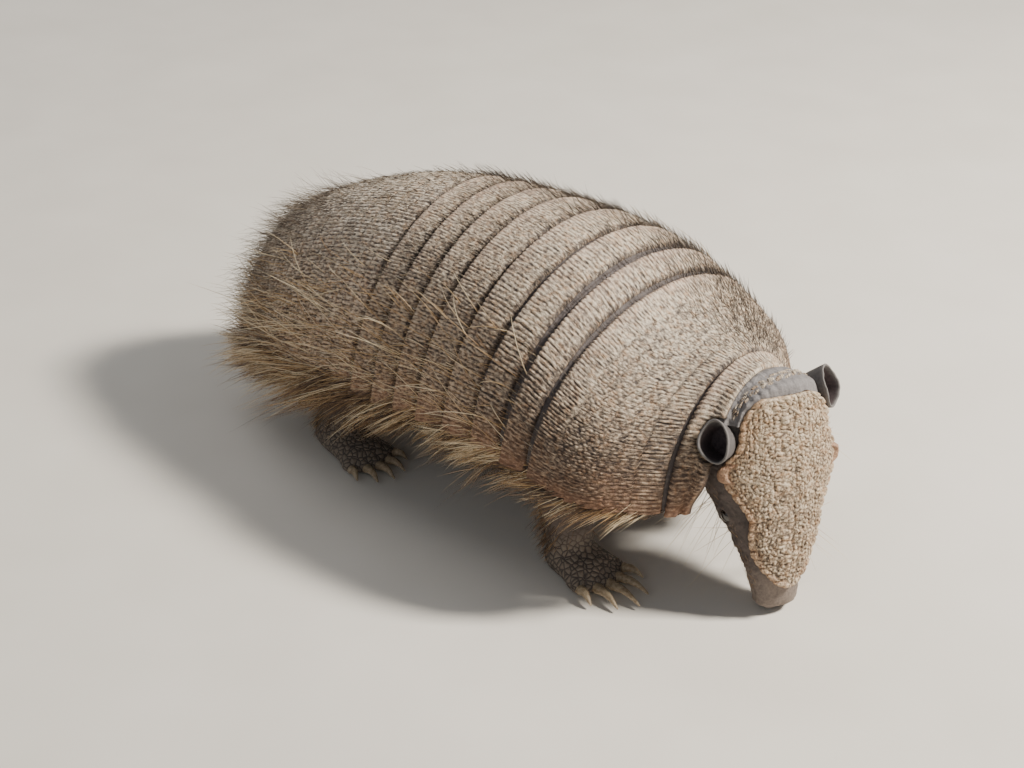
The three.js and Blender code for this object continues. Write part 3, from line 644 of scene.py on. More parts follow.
def head_tube():
    """The head's skin: the superelliptic tube of the head with a domed nose, folds on the cheeks, an almond
    opening with raised lids at each eye, a mouth slit along both sides and two nostrils."""
    dome = np.linspace(0.12, 1.45, 12)
    down = np.append(np.linspace(-2, NOSE_START, HEAD_GRID[0]), NOSE_START + NOSE_DOME * np.sin(dome))
    down, shrink = down[:, None], np.append(np.ones(HEAD_GRID[0]), np.cos(dome))[:, None, None]
    angle = circle(HEAD_GRID[1], PI)
    turned = np.abs(angle)
    last = np.minimum(down, NOSE_LAST)
    p = head_surface(last, angle, -0.35) + (down - last)[..., None] * SNOUTWARDS
    p = p.mean(1, keepdims=True) * (1 - shrink) + p * shrink
    normal = grid_normals(p, wrap=True)
    x, y, z = np.moveaxis(head_coordinates(p), -1, 0)
    cheek = ease(0.9, 1.5, turned) * ease(96, 80, x)
    lift = 0.35 * ripple(p, 9.0, 41) * cheek + 0.16 * ripple(p, 3.0, 42, 12) * ease(0.6, 1.0, turned)
    lift = lift + 0.22 * np.sin(x * 2 * PI / 3.1 + ripple(p, 12.0, 43)) * cheek * ease(60, 80, x)
    r = np.hypot((x - EYE_AT[0]) / EYE_OPENING[0], (z - EYE_AT[2]) / EYE_OPENING[1])
    lids = 0.9 * bell(r, 1.25, 0.30) - 2.4 * (1 - ease(0.75, 1.08, r))
    lift = lift + (lids - 0.4 * bell(r, 1.9, 0.18) - 0.3 * bell(r, 2.5, 0.2)) * (np.abs(y) > 4)
    slit = np.abs(turned - MOUTH_ANGLE - 0.10 * np.sin(x / 9)) * 8
    lift = lift - 0.9 * bell(slit, 0, 0.7) * ease(MOUTH_CORNER, 68, x) * ease(100, 98.6, x)
    lift = lift - 0.7 * ease(MOUTH_ANGLE, MOUTH_ANGLE + 0.3, turned) * ease(MOUTH_CORNER, 80, x)
    p = p + normal * lift[..., None]
    for side in (-1, 1):
        r = np.hypot(y - NOSTRIL[0] * side, (z - NOSTRIL[1]) * 1.2)
        push = (0.5 * bell(r, 1.9, 0.5) - 2.4 * np.exp(-(r / 1.15) ** 4)) * ease(96, 99, x)
        p = p + push[..., None] * SNOUTWARDS
    return tube(p)


def ear_frame(side):
    """The middle of an ear's mouth, and the ways it opens, its tip points and across both."""
    outwards, upwards = (unit(head_point(down, left * side, out) - HEAD_AT)
                         for down, left, out in (EAR_OPENS, EAR_STANDS))
    upwards = unit(upwards - outwards * (upwards @ outwards))
    return head_point(*EAR_MOUTHS[SIDES[side]]), outwards, upwards, np.cross(upwards, outwards)


def ear_coordinates(p, side):
    """Distances of points from an ear's mouth: out, up and across."""
    mouth, *ways = ear_frame(side)
    return [(p - mouth) @ way for way in ways]


def ear_radii(t):
    """Half height and half width of an ear at a share of its depth."""
    return [a + (b - a) * t ** EAR_FLARE for a, b in zip(*EAR_RADII)]


def ear_tube(side):
    """A thin funnel: oval rings that widen along its axis, over a rounded rim and back down inside."""
    mouth, outwards, upwards, across = ear_frame(side)
    outer, inner, rim, lip = 40, 36, 0.985, np.linspace(0, PI, 7)[1:-1]
    t = np.concatenate([np.linspace(0, rim, outer), rim + 0.03 * np.sin(lip), np.linspace(rim, 0.12, inner)])
    inset = EAR_WALL * np.concatenate([np.zeros(outer), 0.5 - 0.5 * np.cos(lip), np.ones(inner)])
    t, inset, angle = t[:, None], inset[:, None], circle(76)
    length, width = ear_radii(np.clip(t, 0, 1))
    tip = EAR_TIP * t * np.maximum(0, np.sin(angle)) ** 3
    curl = 1 + 0.05 * np.sin(3 * angle + side) * t
    axis = EAR_DEPTH * (t - 1) + 0.5 * tip + 0.9 * t * np.cos(2 * angle)
    high = (length * curl - inset) * np.sin(angle) + tip
    wide = (width * curl - inset) * np.cos(angle)
    p = mouth + axis[..., None] * outwards + high[..., None] * upwards + wide[..., None] * across
    return tube(p + 0.12 * ripple(p, 3.2, 51)[..., None] * outwards)


def tail_loops(sides, rows):
    """The tail's smooth outline, a tapering sweep laid on the floor."""
    return swept(np.column_stack([TAIL_PATH, TAIL_PATH[:, 3]]), sides, rows, 0.5)


def tail_tube():
    """The tail's skin: its outline with a low ring of scutes every few millimetres and a rounded tip."""
    rows, sides, scutes = 210, 60, 14
    loops = tail_loops(sides, rows)
    centre = loops.mean(1, keepdims=True)
    run = np.append(0, np.cumsum(np.linalg.norm(np.diff(centre[:, 0], axis=0), axis=-1)))[:, None]
    place = run / (5.2 - 0.018 * run)
    ring = np.floor(place)
    spot = circle(sides) / (2 * PI) * scutes + 0.5 * (ring % 2)
    spot = np.abs(spot - np.floor(spot) - 0.5) * 2
    lift = 0.7 * (1 - spot ** 3) * np.sin(PI * np.clip((place - ring) * 1.15, 0, 1)) ** 0.6 - 0.45
    p = loops + unit(loops - centre) * lift[..., None]
    tip = np.clip((np.arange(rows) - 202) / 7.3, 0, 1)[:, None, None]
    p = centre + (p - centre) * np.sqrt(1 - tip ** 2)
    p[..., 2] = np.maximum(p[..., 2], SOLE)
    return tube(p)


def evaluated(piece, name):
    """The piece with its modifiers applied, as a new object; the old one goes."""
    graph = bpy.context.evaluated_depsgraph_get()
    mesh = bpy.data.meshes.new_from_object(piece.evaluated_get(graph))
    mesh.name = name
    bpy.data.objects.remove(piece)
    return linked(name, mesh)


def skin(finish):
    """One closed skin: trunk, neck and legs are fused on a voxel grid and smoothed, then the finer head, ears
    and tail are joined to it."""
    parts = [trunk_tube(), tube(swept(NECK, 90, 40, 0.4))]
    for side in (-1, 1):
        parts += leg_parts(FRONT_LEG, FRONT_FOOT, side) + leg_parts(HIND_LEG, HIND_FOOT, side)
    points, faces, start = [], [], 0
    for loops, sheets in parts:
        faces += [f + start for f in outward(loops, sheets)]
        points.append(loops)
        start += len(loops)
    body = build("body", np.concatenate(points), faces)
    fuse = body.modifiers.new("fuse", "REMESH")
    fuse.mode, fuse.voxel_size = "VOXEL", SKIN_VOXEL * MM
    soften = body.modifiers.new("soften", "SMOOTH")
    soften.factor, soften.iterations = SOFTENING
    whole = evaluated(body, "body")
    fine = bpy.data.collections.new("fine")
    details = [build("detail", *body) for body in (head_tube(), tail_tube(), ear_tube(-1), ear_tube(1))]
    for piece in details:
        fine.objects.link(piece)
    join = whole.modifiers.new("join", "BOOLEAN")
    join.operation, join.solver = "UNION", "EXACT"
    join.operand_type, join.collection = "COLLECTION", fine
    whole = evaluated(whole, "skin")
    for piece in details:
        bpy.data.objects.remove(piece)
    bpy.data.collections.remove(fine)
    mesh = whole.data
    work = bmesh.new()
    work.from_mesh(mesh)
    bmesh.ops.dissolve_degenerate(work, dist=0.01 * MM, edges=work.edges[:])
    work.to_mesh(mesh)
    work.free()
    mesh.materials.clear()
    mesh.materials.append(finish)
    mesh.polygons.foreach_set("use_smooth", np.ones(len(mesh.polygons), bool))
    shade_skin(whole)
    return whole


def shade_skin(piece):
    """Marks each point of the skin with its share of face, ear, foot and tail, by where it lies."""
    mesh = piece.data
    flat = np.empty(len(mesh.vertices) * 3, np.float32)
    mesh.vertices.foreach_get("co", flat)
    p = flat.reshape(-1, 3) / MM - ORIGIN
    down, left, out = head_coordinates(p).T
    p[:, 2] = np.maximum(p[:, 2], 0.12)
    face = ease(4, 9, down) * ease(40, 34, np.abs(left)) * ease(-50, -44, out)
    marks = {"face": face, "snout": ease(74, 92, down) * face}
    marks["nape"] = ease(24, 4, down) * ease(46, 38, np.abs(left)) * ease(-46, -30, out)
    marks["foot"] = ease(26, 12, p[:, 2]) * (p[:, 0] > -100) * (1 - face)
    marks["tail"] = ease(-128, -140, p[:, 0]) * ease(60, 50, p[:, 2])
    for side in (-1, 1):
        depth, high, wide = ear_coordinates(p, side)
        t = np.clip(1 + depth / EAR_DEPTH, 0.02, 1.1)
        long, short = ear_radii(t)
        tip = EAR_TIP * t * np.clip(high / (long + EAR_TIP), 0, 1) ** 3
        aside = np.hypot((high - tip) / long, wide / short)
        lift = depth - 0.5 * tip - 0.9 * t * np.cos(2 * np.arctan2(high / long, wide / short))
        near = ease(1.5, 1.25, aside)
        own = {"ear": ease(-13, -10, depth), "hollow": ease(0.93, 0.89, aside) * ease(0.2, -0.8, lift),
               "lip": ease(-1.7, -0.5, lift) * ease(0.72, 0.84, aside)}
        for key, share in own.items():
            marks[key] = np.maximum(marks.get(key, 0), near * share)
    for key, values in marks.items():
        mark(piece, key, values)
    mesh.vertices.foreach_set("co", ((p + ORIGIN) * MM).astype(np.float32).ravel())
    mesh.update()


# ---------- Eyes, claws and folds ----------

FOLD_SAG = 1.75                # how far the bare skin lies below the shell's surface
FOLD_DEPTH = 3.0               # how far its underside does


def eyeball(side, finish):
    """A sphere from turned half circles, set in the lids."""
    centre = head_point(EYE_AT[0], EYE_AT[1] * side, EYE_AT[2])
    down, angle = np.linspace(0.04, PI - 0.04, 25)[:, None, None], circle(36)[..., None]
    across = np.sin(down) * (np.cos(angle) * SNOUTWARDS + np.sin(angle) * SHIELDWARDS)
    p = centre + EYE_RADIUS * (across + np.cos(down) * HEAD_LEFT * side)
    return build(f"eyeball_{SIDES[side]}", *tube(p), finish)


def claw(name, start, heading, length, finish):
    """A claw: half-round sections, flat beneath, that shrink along an arched line, with fine lines."""
    t = np.linspace(-0.16, 1, 30)[:, None]
    root = start + heading * (TOE_LENGTH + 1.5)
    centre = root + heading * length * t
    arch = CLAW_ARCH * np.sin(PI * np.clip(t, 0, 1)) + (CLAW_TIP_HEIGHT - root[2]) * t ** 2
    centre[:, 2] = root[2] + arch[:, 0]
    wide, tall = ((CLAW_TIP + (h - CLAW_TIP) * np.clip(1 - t, 0, 1) ** 0.75)[..., None] for h in CLAW_ROOT)
    side = np.array([-heading[1], heading[0], 0])
    a = circle(24)[..., None]
    size = 0.92 * (1 + 0.03 * np.sin(9 * a))
    up = np.where(np.sin(a) > 0, 1.0, 0.45) * np.sin(a)
    p = centre[:, None] + size * (side * wide * np.cos(a) - DOWN * tall * up)
    p[..., 2] = np.maximum(p[..., 2], 2 * SOLE)
    return build(name, *tube(p), finish)


def fold(name, place, width, finish):
    """Bare skin across a seam: a low wrinkled strip from rim to rim that tucks under both plates."""
    half, rows = (width / 2 + 0.8) / SHELL_LENGTH, 13
    places = np.linspace(place - half, place + half, rows)[:, None]
    point, normal, _ = shell_at(places, np.linspace(0.015, PI - 0.015, 340)[None, :])
    t = np.linspace(0, 1, rows)[:, None]
    sag = FOLD_SAG + 0.16 * np.cos(2 * PI * t * max(width / 1.3, 1)) + 0.14 * ripple(point, 2.4, 61)
    return plate(name, point - normal * sag[..., None], point - normal * FOLD_DEPTH, finish)


NECK_RIM = (0.82, 2.5)         # where the neck's folds start and end round the shell's front rim
# For t from -1 at the right to 1 at the left: distance down the head and angle round it where the folds end.
NECK_HEAD = np.array([[-1, 14, -0.62], [-0.6, 8.5, -0.50], [0, 6, 0.02], [0.5, 6, 0.55], [1, 9, 0.80]])
NECK_ROW = (0.36, 0.67)        # where the row of scutes between the folds starts and ends
NECK_ROW_ENDS = (-0.93, 0.9)


def neck_cover(s, t):
    """The neck from the shell's front rim (s = 0) to the head shield's rear edge (s = 1): straight lines
    between two curves, lifted by a low arch. Gives points and outward normals."""
    s, t = np.broadcast_arrays(s, t)
    angle = NECK_RIM[0] + (t + 1) / 2 * (NECK_RIM[1] - NECK_RIM[0])
    rim, out, _ = shell_at(SHELL_FRONT - 3.0 / SHELL_LENGTH, angle)
    start = rim - out * PLATE * 0.8
    end = head_surface(smooth(NECK_HEAD, 1, t), smooth(NECK_HEAD, 2, t), 1.0)
    base = start + (end - start) * s[..., None]
    normal = grid_normals(base)
    arch = np.sin(PI * s ** 1.3) * (1.4 + 4.6 * ease(-1.0, 0.3, t))
    return base + normal * arch[..., None], normal


def neck_folds(finish):
    """Two smooth rolls of bare skin across the neck, with a hollow between them."""
    s, t = np.linspace(0, 1, 61)[:, None], np.linspace(-1, 1, 180)[None, :]
    base, normal = neck_cover(s, t)
    sway = 0.015 * np.sin(5 * t)
    height = 1.3 * bell(s, 0.23 + sway, 0.12) + 1.6 * bell(s, 0.82 + sway, 0.12)
    height = height + 0.16 * ripple(base, 5.0, 62) + 0.07 * ripple(base, 1.6, 63)
    return plate("neck_folds", base + normal * height[..., None], base - normal * FOLD_DEPTH, finish)


def neck_scutes(finish):
    """One row of small pale scutes in the hollow between the neck's folds."""
    s, t = np.linspace(*NECK_ROW, 31)[:, None], np.linspace(*NECK_ROW_ENDS, 190)[None, :]
    base, normal = neck_cover(s, t)
    edge = np.clip(np.minimum(s - NECK_ROW[0], NECK_ROW[1] - s) / 0.06, 0, 1)
    ends = np.clip(np.minimum(t - NECK_ROW_ENDS[0], NECK_ROW_ENDS[1] - t) / 0.05, 0, 1)
    gap, stone = cells(8 * t + 0.3 * np.sin(20 * s), s * 6, 66, (0.7, 0.6))
    height = 0.7 * ease(0, 0.32, gap) * (0.7 + 0.6 * stone) * np.sqrt(edge * ends) - 0.1
    pale = (1 - 0.45 * (1 - ease(0.04, 0.2, gap))) * (0.7 + 0.3 * stone) * (0.6 + 0.4 * edge)
    return plate("neck_scutes", base + normal * height[..., None], base - normal * 1.5, finish, pale=pale,
                 tone=stone, top=1.0, tip=0.0, margin=0.0, across=50 * t, along=12 * s)


# ---------- Bristles ----------

PATCH = 0.003                  # size of one bristle's place on the map of its piece
LOWEST = 0.4                   # height of the lowest bristles above the floor
HAIR_REAR = -0.055             # place along the back where the hair starts


def bristles(name, finish, draw, root, heading, bend, length, tint, radius, spot, rings=4):
    """Tapered three-sided bristles as one mesh. A bristle's middle line is root + L (t h + t^2 b / 2), with t
    from 0 to 1, and its radius shrinks as (1 - t)^0.6 to a point. tint is a mean and a spread, radius two
    bounds or a number for each, and spot a place on the map of the surface below."""
    n = len(root)
    tint = np.clip(tint[0] + tint[1] * draw.normal(size=n), 0, 1)
    if isinstance(radius, tuple):
        radius = draw.uniform(*radius, n)
    t = np.linspace(0, 1, rings + 1)[:-1]
    s, length = t[None, :, None], length[:, None, None]
    line = root[:, None] + length * (s * heading[:, None] + s ** 2 / 2 * bend[:, None])
    tangent = unit(heading[:, None] + s * bend[:, None])
    side = unit(np.cross(tangent, [0.13, 0.31, 0.94]))
    j = np.arange(3)
    a = j[:, None] * 2 * PI / 3
    section = side[:, :, None] * np.cos(a) + np.cross(tangent, side)[:, :, None] * np.sin(a)
    hoops = line[:, :, None] + radius[:, None, None, None] * (1 - s[..., None]) ** 0.6 * section
    tip = root + length[:, 0] * (heading + bend / 2)
    points = np.concatenate([hoops.reshape(n, -1, 3), tip[:, None]], 1)
    points[..., 2] = np.maximum(points[..., 2], LOWEST)
    each = rings * 3 + 1
    last = each - 4
    start = (np.arange(n) * each)[:, None, None]
    quads = (start + grid_faces(rings, 3, wrap=True)[:, ::-1]).reshape(-1, 4)
    point = np.stack([last + j, last + (j + 1) % 3, np.full(3, each - 1)], -1)
    ends = (start + np.concatenate([[[0, 2, 1]], point])).reshape(-1, 3)
    piece = build(name, points, [quads, ends], finish)
    run = np.append(np.repeat(t, 3), 1.0)
    mark(piece, "tint", np.repeat(tint, each))
    mark(piece, "run", np.tile(run, n))
    patch = PATCH * np.stack([run, np.append(np.tile(j / 3, rings), 0.5)], -1)
    uv = (spot[:, None] + patch).reshape(-1, 2).astype(np.float32)
    corner = np.empty(len(piece.data.loops), np.int32)
    piece.data.loops.foreach_get("vertex_index", corner)
    piece.data.uv_layers.new(name="OFBake").data.foreach_set("uv", uv[corner].ravel())
    return piece


def unwrap(a, b, high=(1.0, 1.0), low=(-0.06, 0.0)):
    """Two surface parameters as places on a bristle piece's map, kept off its edge."""
    cell = np.stack([(a - low[0]) / (high[0] - low[0]), (b - low[1]) / (high[1] - low[1])], -1)
    return 0.01 + 0.975 * np.clip(cell, 0, 1)


def swayed(draw, aim, sway, bend, curl, lengths):
    """Unit directions scattered about an aim, bends about a bend, and lengths between two bounds."""
    heading = unit(aim + draw.normal(0, sway, aim.shape))
    if curl:
        bend = bend + draw.normal(0, curl, aim.shape)
    return heading, bend, draw.uniform(*lengths, len(aim))


def rim_fringe(side, locks, each, finish):
    """Long bristles in locks along one rim, swept back and down; each lock draws together towards its tip."""
    draw = np.random.default_rng(70 + side)
    count = locks * each
    lock_place = np.sort(1 - 1.045 * draw.random(locks) ** 0.66)
    lock = np.repeat(np.arange(locks), each)
    place = np.clip(lock_place[lock] + draw.normal(0, 0.007, count), HAIR_REAR, 0.99)
    rise = np.abs(draw.normal(0, 0.04, count)) + 0.01
    point, normal, front = from_rim(place, rise, side)
    under = draw.random(count) < 0.42
    low = 0.05 + 1.6 * rise
    below = belly_point(place, PI - low if side < 0 else low, HAIR_DEPTH)
    root = np.where(under[:, None], below, point - normal * 0.8)
    own = np.interp(lock_place, [-0.05, 0.12, 0.3, 0.5, 0.8, 0.97], [28, 50, 56, 44, 32, 20])
    own = own * draw.uniform(0.65, 1.15, locks)
    length = own[lock] * draw.uniform(0.55, 1.05, count)
    centre = np.add.reduceat(root, np.arange(locks) * each) / each
    lean = draw.normal(0, 0.10, (locks, 3))[lock] + draw.normal(0, 0.05, (count, 3))
    sink = np.interp(place, [0.0, 0.25, 0.45, 0.9], [0.16, 0.16, 0.38, 0.52])[:, None]
    heading = unit(-0.90 * front + 0.16 * normal + sink * DOWN + lean)
    heading = unit(heading + 0.6 * (centre[lock] - root) / length[:, None])
    bend = (0.45 - 0.7 * sink) * DOWN - 0.10 * normal + draw.normal(0, 0.15, (locks, 3))[lock]
    bend = bend + draw.normal(0, 0.08, (count, 3))
    # Hair rooted under the rim gets a darker tint: painted shade beneath the body.
    tint = 0.60 + 0.24 * draw.normal(size=locks)[lock] - 0.42 * under
    return bristles(f"coat_rim_{SIDES[side]}", finish, draw, root, heading, bend, length, tint=(tint, 0.20),
                    radius=(0.14, 0.26), spot=unwrap(place, rise, (1.0, 0.3)))


def flank_bristles(side, long_ones, short_ones, finish):
    """Scattered long pale bristles that cross the lower flank at all slants, thickest towards the rump, over
    shorter and finer ones."""
    draw = np.random.default_rng(80 + side)
    count = long_ones + short_ones
    long = np.arange(count) < long_ones
    place = HAIR_REAR + 0.85 * draw.beta(1.0, 1.6, count)
    rise = 0.03 + 0.80 * draw.beta(1.0, 1.7, count)
    point, normal, front = from_rim(place, rise, side)
    fall = np.where(long, draw.normal(-0.22, 0.30, count), 0.16)[:, None]
    lift, sway, curl = (np.where(long, a, b)[:, None] for a, b in ((0.26, 0.16), (0.14, 0.09), (0.26, 0.13)))
    heading = unit(-front + lift * normal + fall * DOWN + sway * draw.normal(0, 1, (count, 3)))
    bend = 0.20 * DOWN - 0.25 * normal + curl * draw.normal(0, 1, (count, 3))
    length = np.where(long, draw.uniform(15, 38, count), draw.uniform(7, 18, count)) * ease(1.9, 0.3, rise)
    radius = np.where(long, draw.uniform(0.18, 0.27, count), draw.uniform(0.12, 0.19, count))
    return bristles(f"coat_flank_{SIDES[side]}", finish, draw, point - normal * 0.6, heading, bend, length,
                    tint=(np.where(long, 0.76, 0.56), np.where(long, 0.20, 0.36)), radius=radius,
                    spot=unwrap(place, rise, (0.75, 1.2)))


def haze(name, seed, count, finish, reach, taper, margin, end, back, lift, sway, bend, curl, lengths, sink,
         **looks):
    """Loose hair that lies back from a stretch of the shell and thins out towards the head, as a beta
    distribution. lift and bend are shares of the ways outwards and down, end the edge of its map."""
    draw = np.random.default_rng(seed)
    place = reach[0] + reach[1] * draw.beta(1.0, taper, count)
    angle = draw.uniform(margin, PI - margin, count)
    point, normal, front = shell_at(place, angle)
    aim = -front * np.array(back) + lift[0] * normal + lift[1] * DOWN
    spread = swayed(draw, aim, sway, bend[0] * normal + bend[1] * DOWN, curl, lengths)
    spot = unwrap(place, angle, (end, PI))
    return bristles(name, finish, draw, point - normal * sink, *spread, spot=spot, **looks)


def back_bristles(count, finish):
    """Short bristles from the scutes' rear edges, all over the back, longer and darker on its left slope."""
    draw = np.random.default_rng(90)
    place = draw.uniform(HAIR_REAR, 0.97, count)
    seams = np.array(BAND_SEAMS)
    nearest = seams[np.abs(place[:, None] - seams).argmin(1)]
    at_seam = (draw.random(count) < 0.4) & (place > 0.33) & (place < 0.82)
    place = np.where(at_seam, nearest + draw.uniform(0.006, 0.016, count), place)
    far = draw.random(count) < 0.45 * ease(0.24, 0.40, place)
    slope = np.clip(draw.normal(0.69 * PI, 0.075 * PI, count), 0.05, 3.0)
    angle = np.where(far, slope, draw.uniform(0.05, PI - 0.05, count))
    point, normal, front = shell_at(place, angle)
    aim = -front + np.where(far, 0.55, 0.34)[:, None] * normal
    heading, bend, length = swayed(draw, aim, 0.13, -0.35 * normal, 0.15, (3.5, 9.5))
    length = length * np.interp(place, [0.0, 0.4, 0.95], [1.25, 1.0, 0.62]) * np.where(far, 1.75, 1)
    return bristles("coat_back", finish, draw, point - normal * 0.4, heading, bend, length,
                    tint=(np.where(far, 0.10, 0.32), 0.22), radius=(0.11, 0.17),
                    spot=unwrap(place, angle, (1.0, PI)), rings=3)


def belly_bristles(count, finish):
    """Coarse hair under the body, from rim to rim."""
    draw = np.random.default_rng(92)
    place, angle = draw.uniform(-0.03, 0.93, count), draw.uniform(0.02, PI - 0.02, count)
    across = np.stack([0 * angle, np.cos(angle), -np.sin(angle)], -1)
    heading, bend, length = swayed(draw, [-1.0, 0, 0] + 0.42 * across, 0.16, 0.25 * DOWN, 0.16, (9, 21))
    length = length * np.interp(np.sin(angle), [0, 1], [1.15, 0.75])
    # The belly hair's dark tint is painted shade beneath the body.
    return bristles("coat_belly", finish, draw, belly_point(place, angle, HAIR_DEPTH), heading, bend, length,
                    tint=(0.16, 0.16), radius=(0.13, 0.20), spot=unwrap(place, angle, (1.0, PI)), rings=3)


def leg_bristles(count, finish):
    """Hair down the legs, longer and swept back on the thighs, and sparse short hair on the feet."""
    draw = np.random.default_rng(93)
    limbs = [(stations, side) for stations in (FRONT_LEG, HIND_LEG) for side in (-1, 1)]
    around, pieces = 60, []
    for number, (stations, side) in enumerate(limbs):
        loops = swept(stations * [1, -side, 1, 1, 1], around, around, 0.8)
        row, column = draw.integers(4, around - 4, count), draw.integers(0, around, count)
        p = loops[row, column]
        out = unit(p - loops.mean(1)[row])
        thigh = (ease(22, 34, p[:, 2]) * (number > 1))[:, None]
        aim = DOWN * (1 - 0.6 * thigh) + [-0.5, 0, 0] - [0.7, 0, 0] * thigh + 0.35 * out
        heading, bend, length = swayed(draw, aim, 0.16, -0.2 * out, 0.15, (6, 15))
        length = np.minimum(length, 3.0 + p[:, 2] * 0.55) * (1 + 1.3 * thigh[:, 0])
        spot = unwrap(row / around, column / around, low=(0, 0)) * [0.25, 1.0] + [number * 0.25 * 0.98, 0]
        pieces.append((p - out * 0.5, heading, bend, length, spot, 0.24 + 0.30 * thigh[:, 0]))
    root, heading, bend, length, spot, tint = (np.concatenate(v) for v in zip(*pieces))
    return bristles("coat_legs", finish, draw, root, heading, bend, length, tint=(tint, 0.20),
                    radius=(0.11, 0.17), spot=spot)


def face_bristles(count, whiskers, finish):
    """Short hair lying back over the cheeks and throat, and long pale whiskers that fan from the cheeks."""
    draw = np.random.default_rng(94)
    n = count + whiskers
    long = np.arange(n) >= count

    def between(whisker, hair):
        return np.where(long, draw.uniform(*whisker, n), draw.uniform(*hair, n))

    side = np.where(draw.random(n) < 0.5, -1.0, 1.0)
    down = between((20, 72), (8, 92))
    turn = side * between((1.65, 2.75), (1.15, PI))
    root = head_surface(down, turn, -0.6)
    out = unit(root - head_surface(down, turn, -6.0))
    back = -SNOUTWARDS + 0.45 * out + draw.normal(0, 0.2, (n, 3))
    fan = 0.62 * SNOUTWARDS + 0.68 * side[:, None] * HEAD_LEFT - 0.12 * SHIELDWARDS
    heading = unit(np.where(long[:, None], fan + draw.normal(0, 0.28, (n, 3)), back))
    bend = draw.normal(0, 0.14, (n, 3)) + 0.1 * DOWN
    length, radius = between((16, 36), (2.0, 5.5)), between((0.10, 0.16), (0.06, 0.10))
    return bristles("coat_face", finish, draw, root, heading, bend, length,
                    tint=(np.where(long, 0.85, 0.35), 0.15), radius=radius,
                    spot=unwrap(down, turn, (100.0, PI), (0.0, -PI)))


def tail_bristles(count, finish):
    """Sparse short bristles between the rings of the tail."""
    draw = np.random.default_rng(95)
    rows, sides = 260, 72
    loops = tail_loops(sides, rows)
    row, column = draw.integers(3, rows - 4, count), draw.integers(0, sides, count)
    p, middle = loops[row, column], loops.mean(1)
    out = unit(p - middle[row])
    back = unit(middle[np.minimum(row + 2, rows - 1)] - middle[row - 2])
    heading, bend, length = swayed(draw, back + 0.35 * out, 0.15, -0.2 * out, 0, (3.5, 8.0))
    length = length * np.interp(row, [0, rows - 1], [1.3, 0.7])
    return bristles("coat_tail", finish, draw, p - out * 0.4, heading, bend, length, tint=(0.3, 0.2),
                    radius=(0.09, 0.13), spot=unwrap(row / rows, column / sides, low=(0, 0)), rings=3)


# ---------- Finishes ----------


class Value:
    """A number that varies over a surface; arithmetic on it adds Math nodes to its finish."""

    def __init__(self, finish, socket):
        self.finish, self.socket = finish, socket

    def math(self, operation, *terms):
        return self.finish.value(0, "ShaderNodeMath", {"operation": operation}, dict(enumerate(terms)))

    def __add__(self, other):
        return self.math("ADD", self, other)

    def __sub__(self, other):
        return self.math("SUBTRACT", self, other)

    def __rsub__(self, other):
        return self.math("SUBTRACT", other, self)

    def __mul__(self, other):
        return self.math("MULTIPLY", self, other)

    __radd__ = __add__
    __rmul__ = __mul__

    def clamped(self):
        """The value kept from 0 to 1."""
        return self.finish.value(0, "ShaderNodeClamp", sockets={0: self})


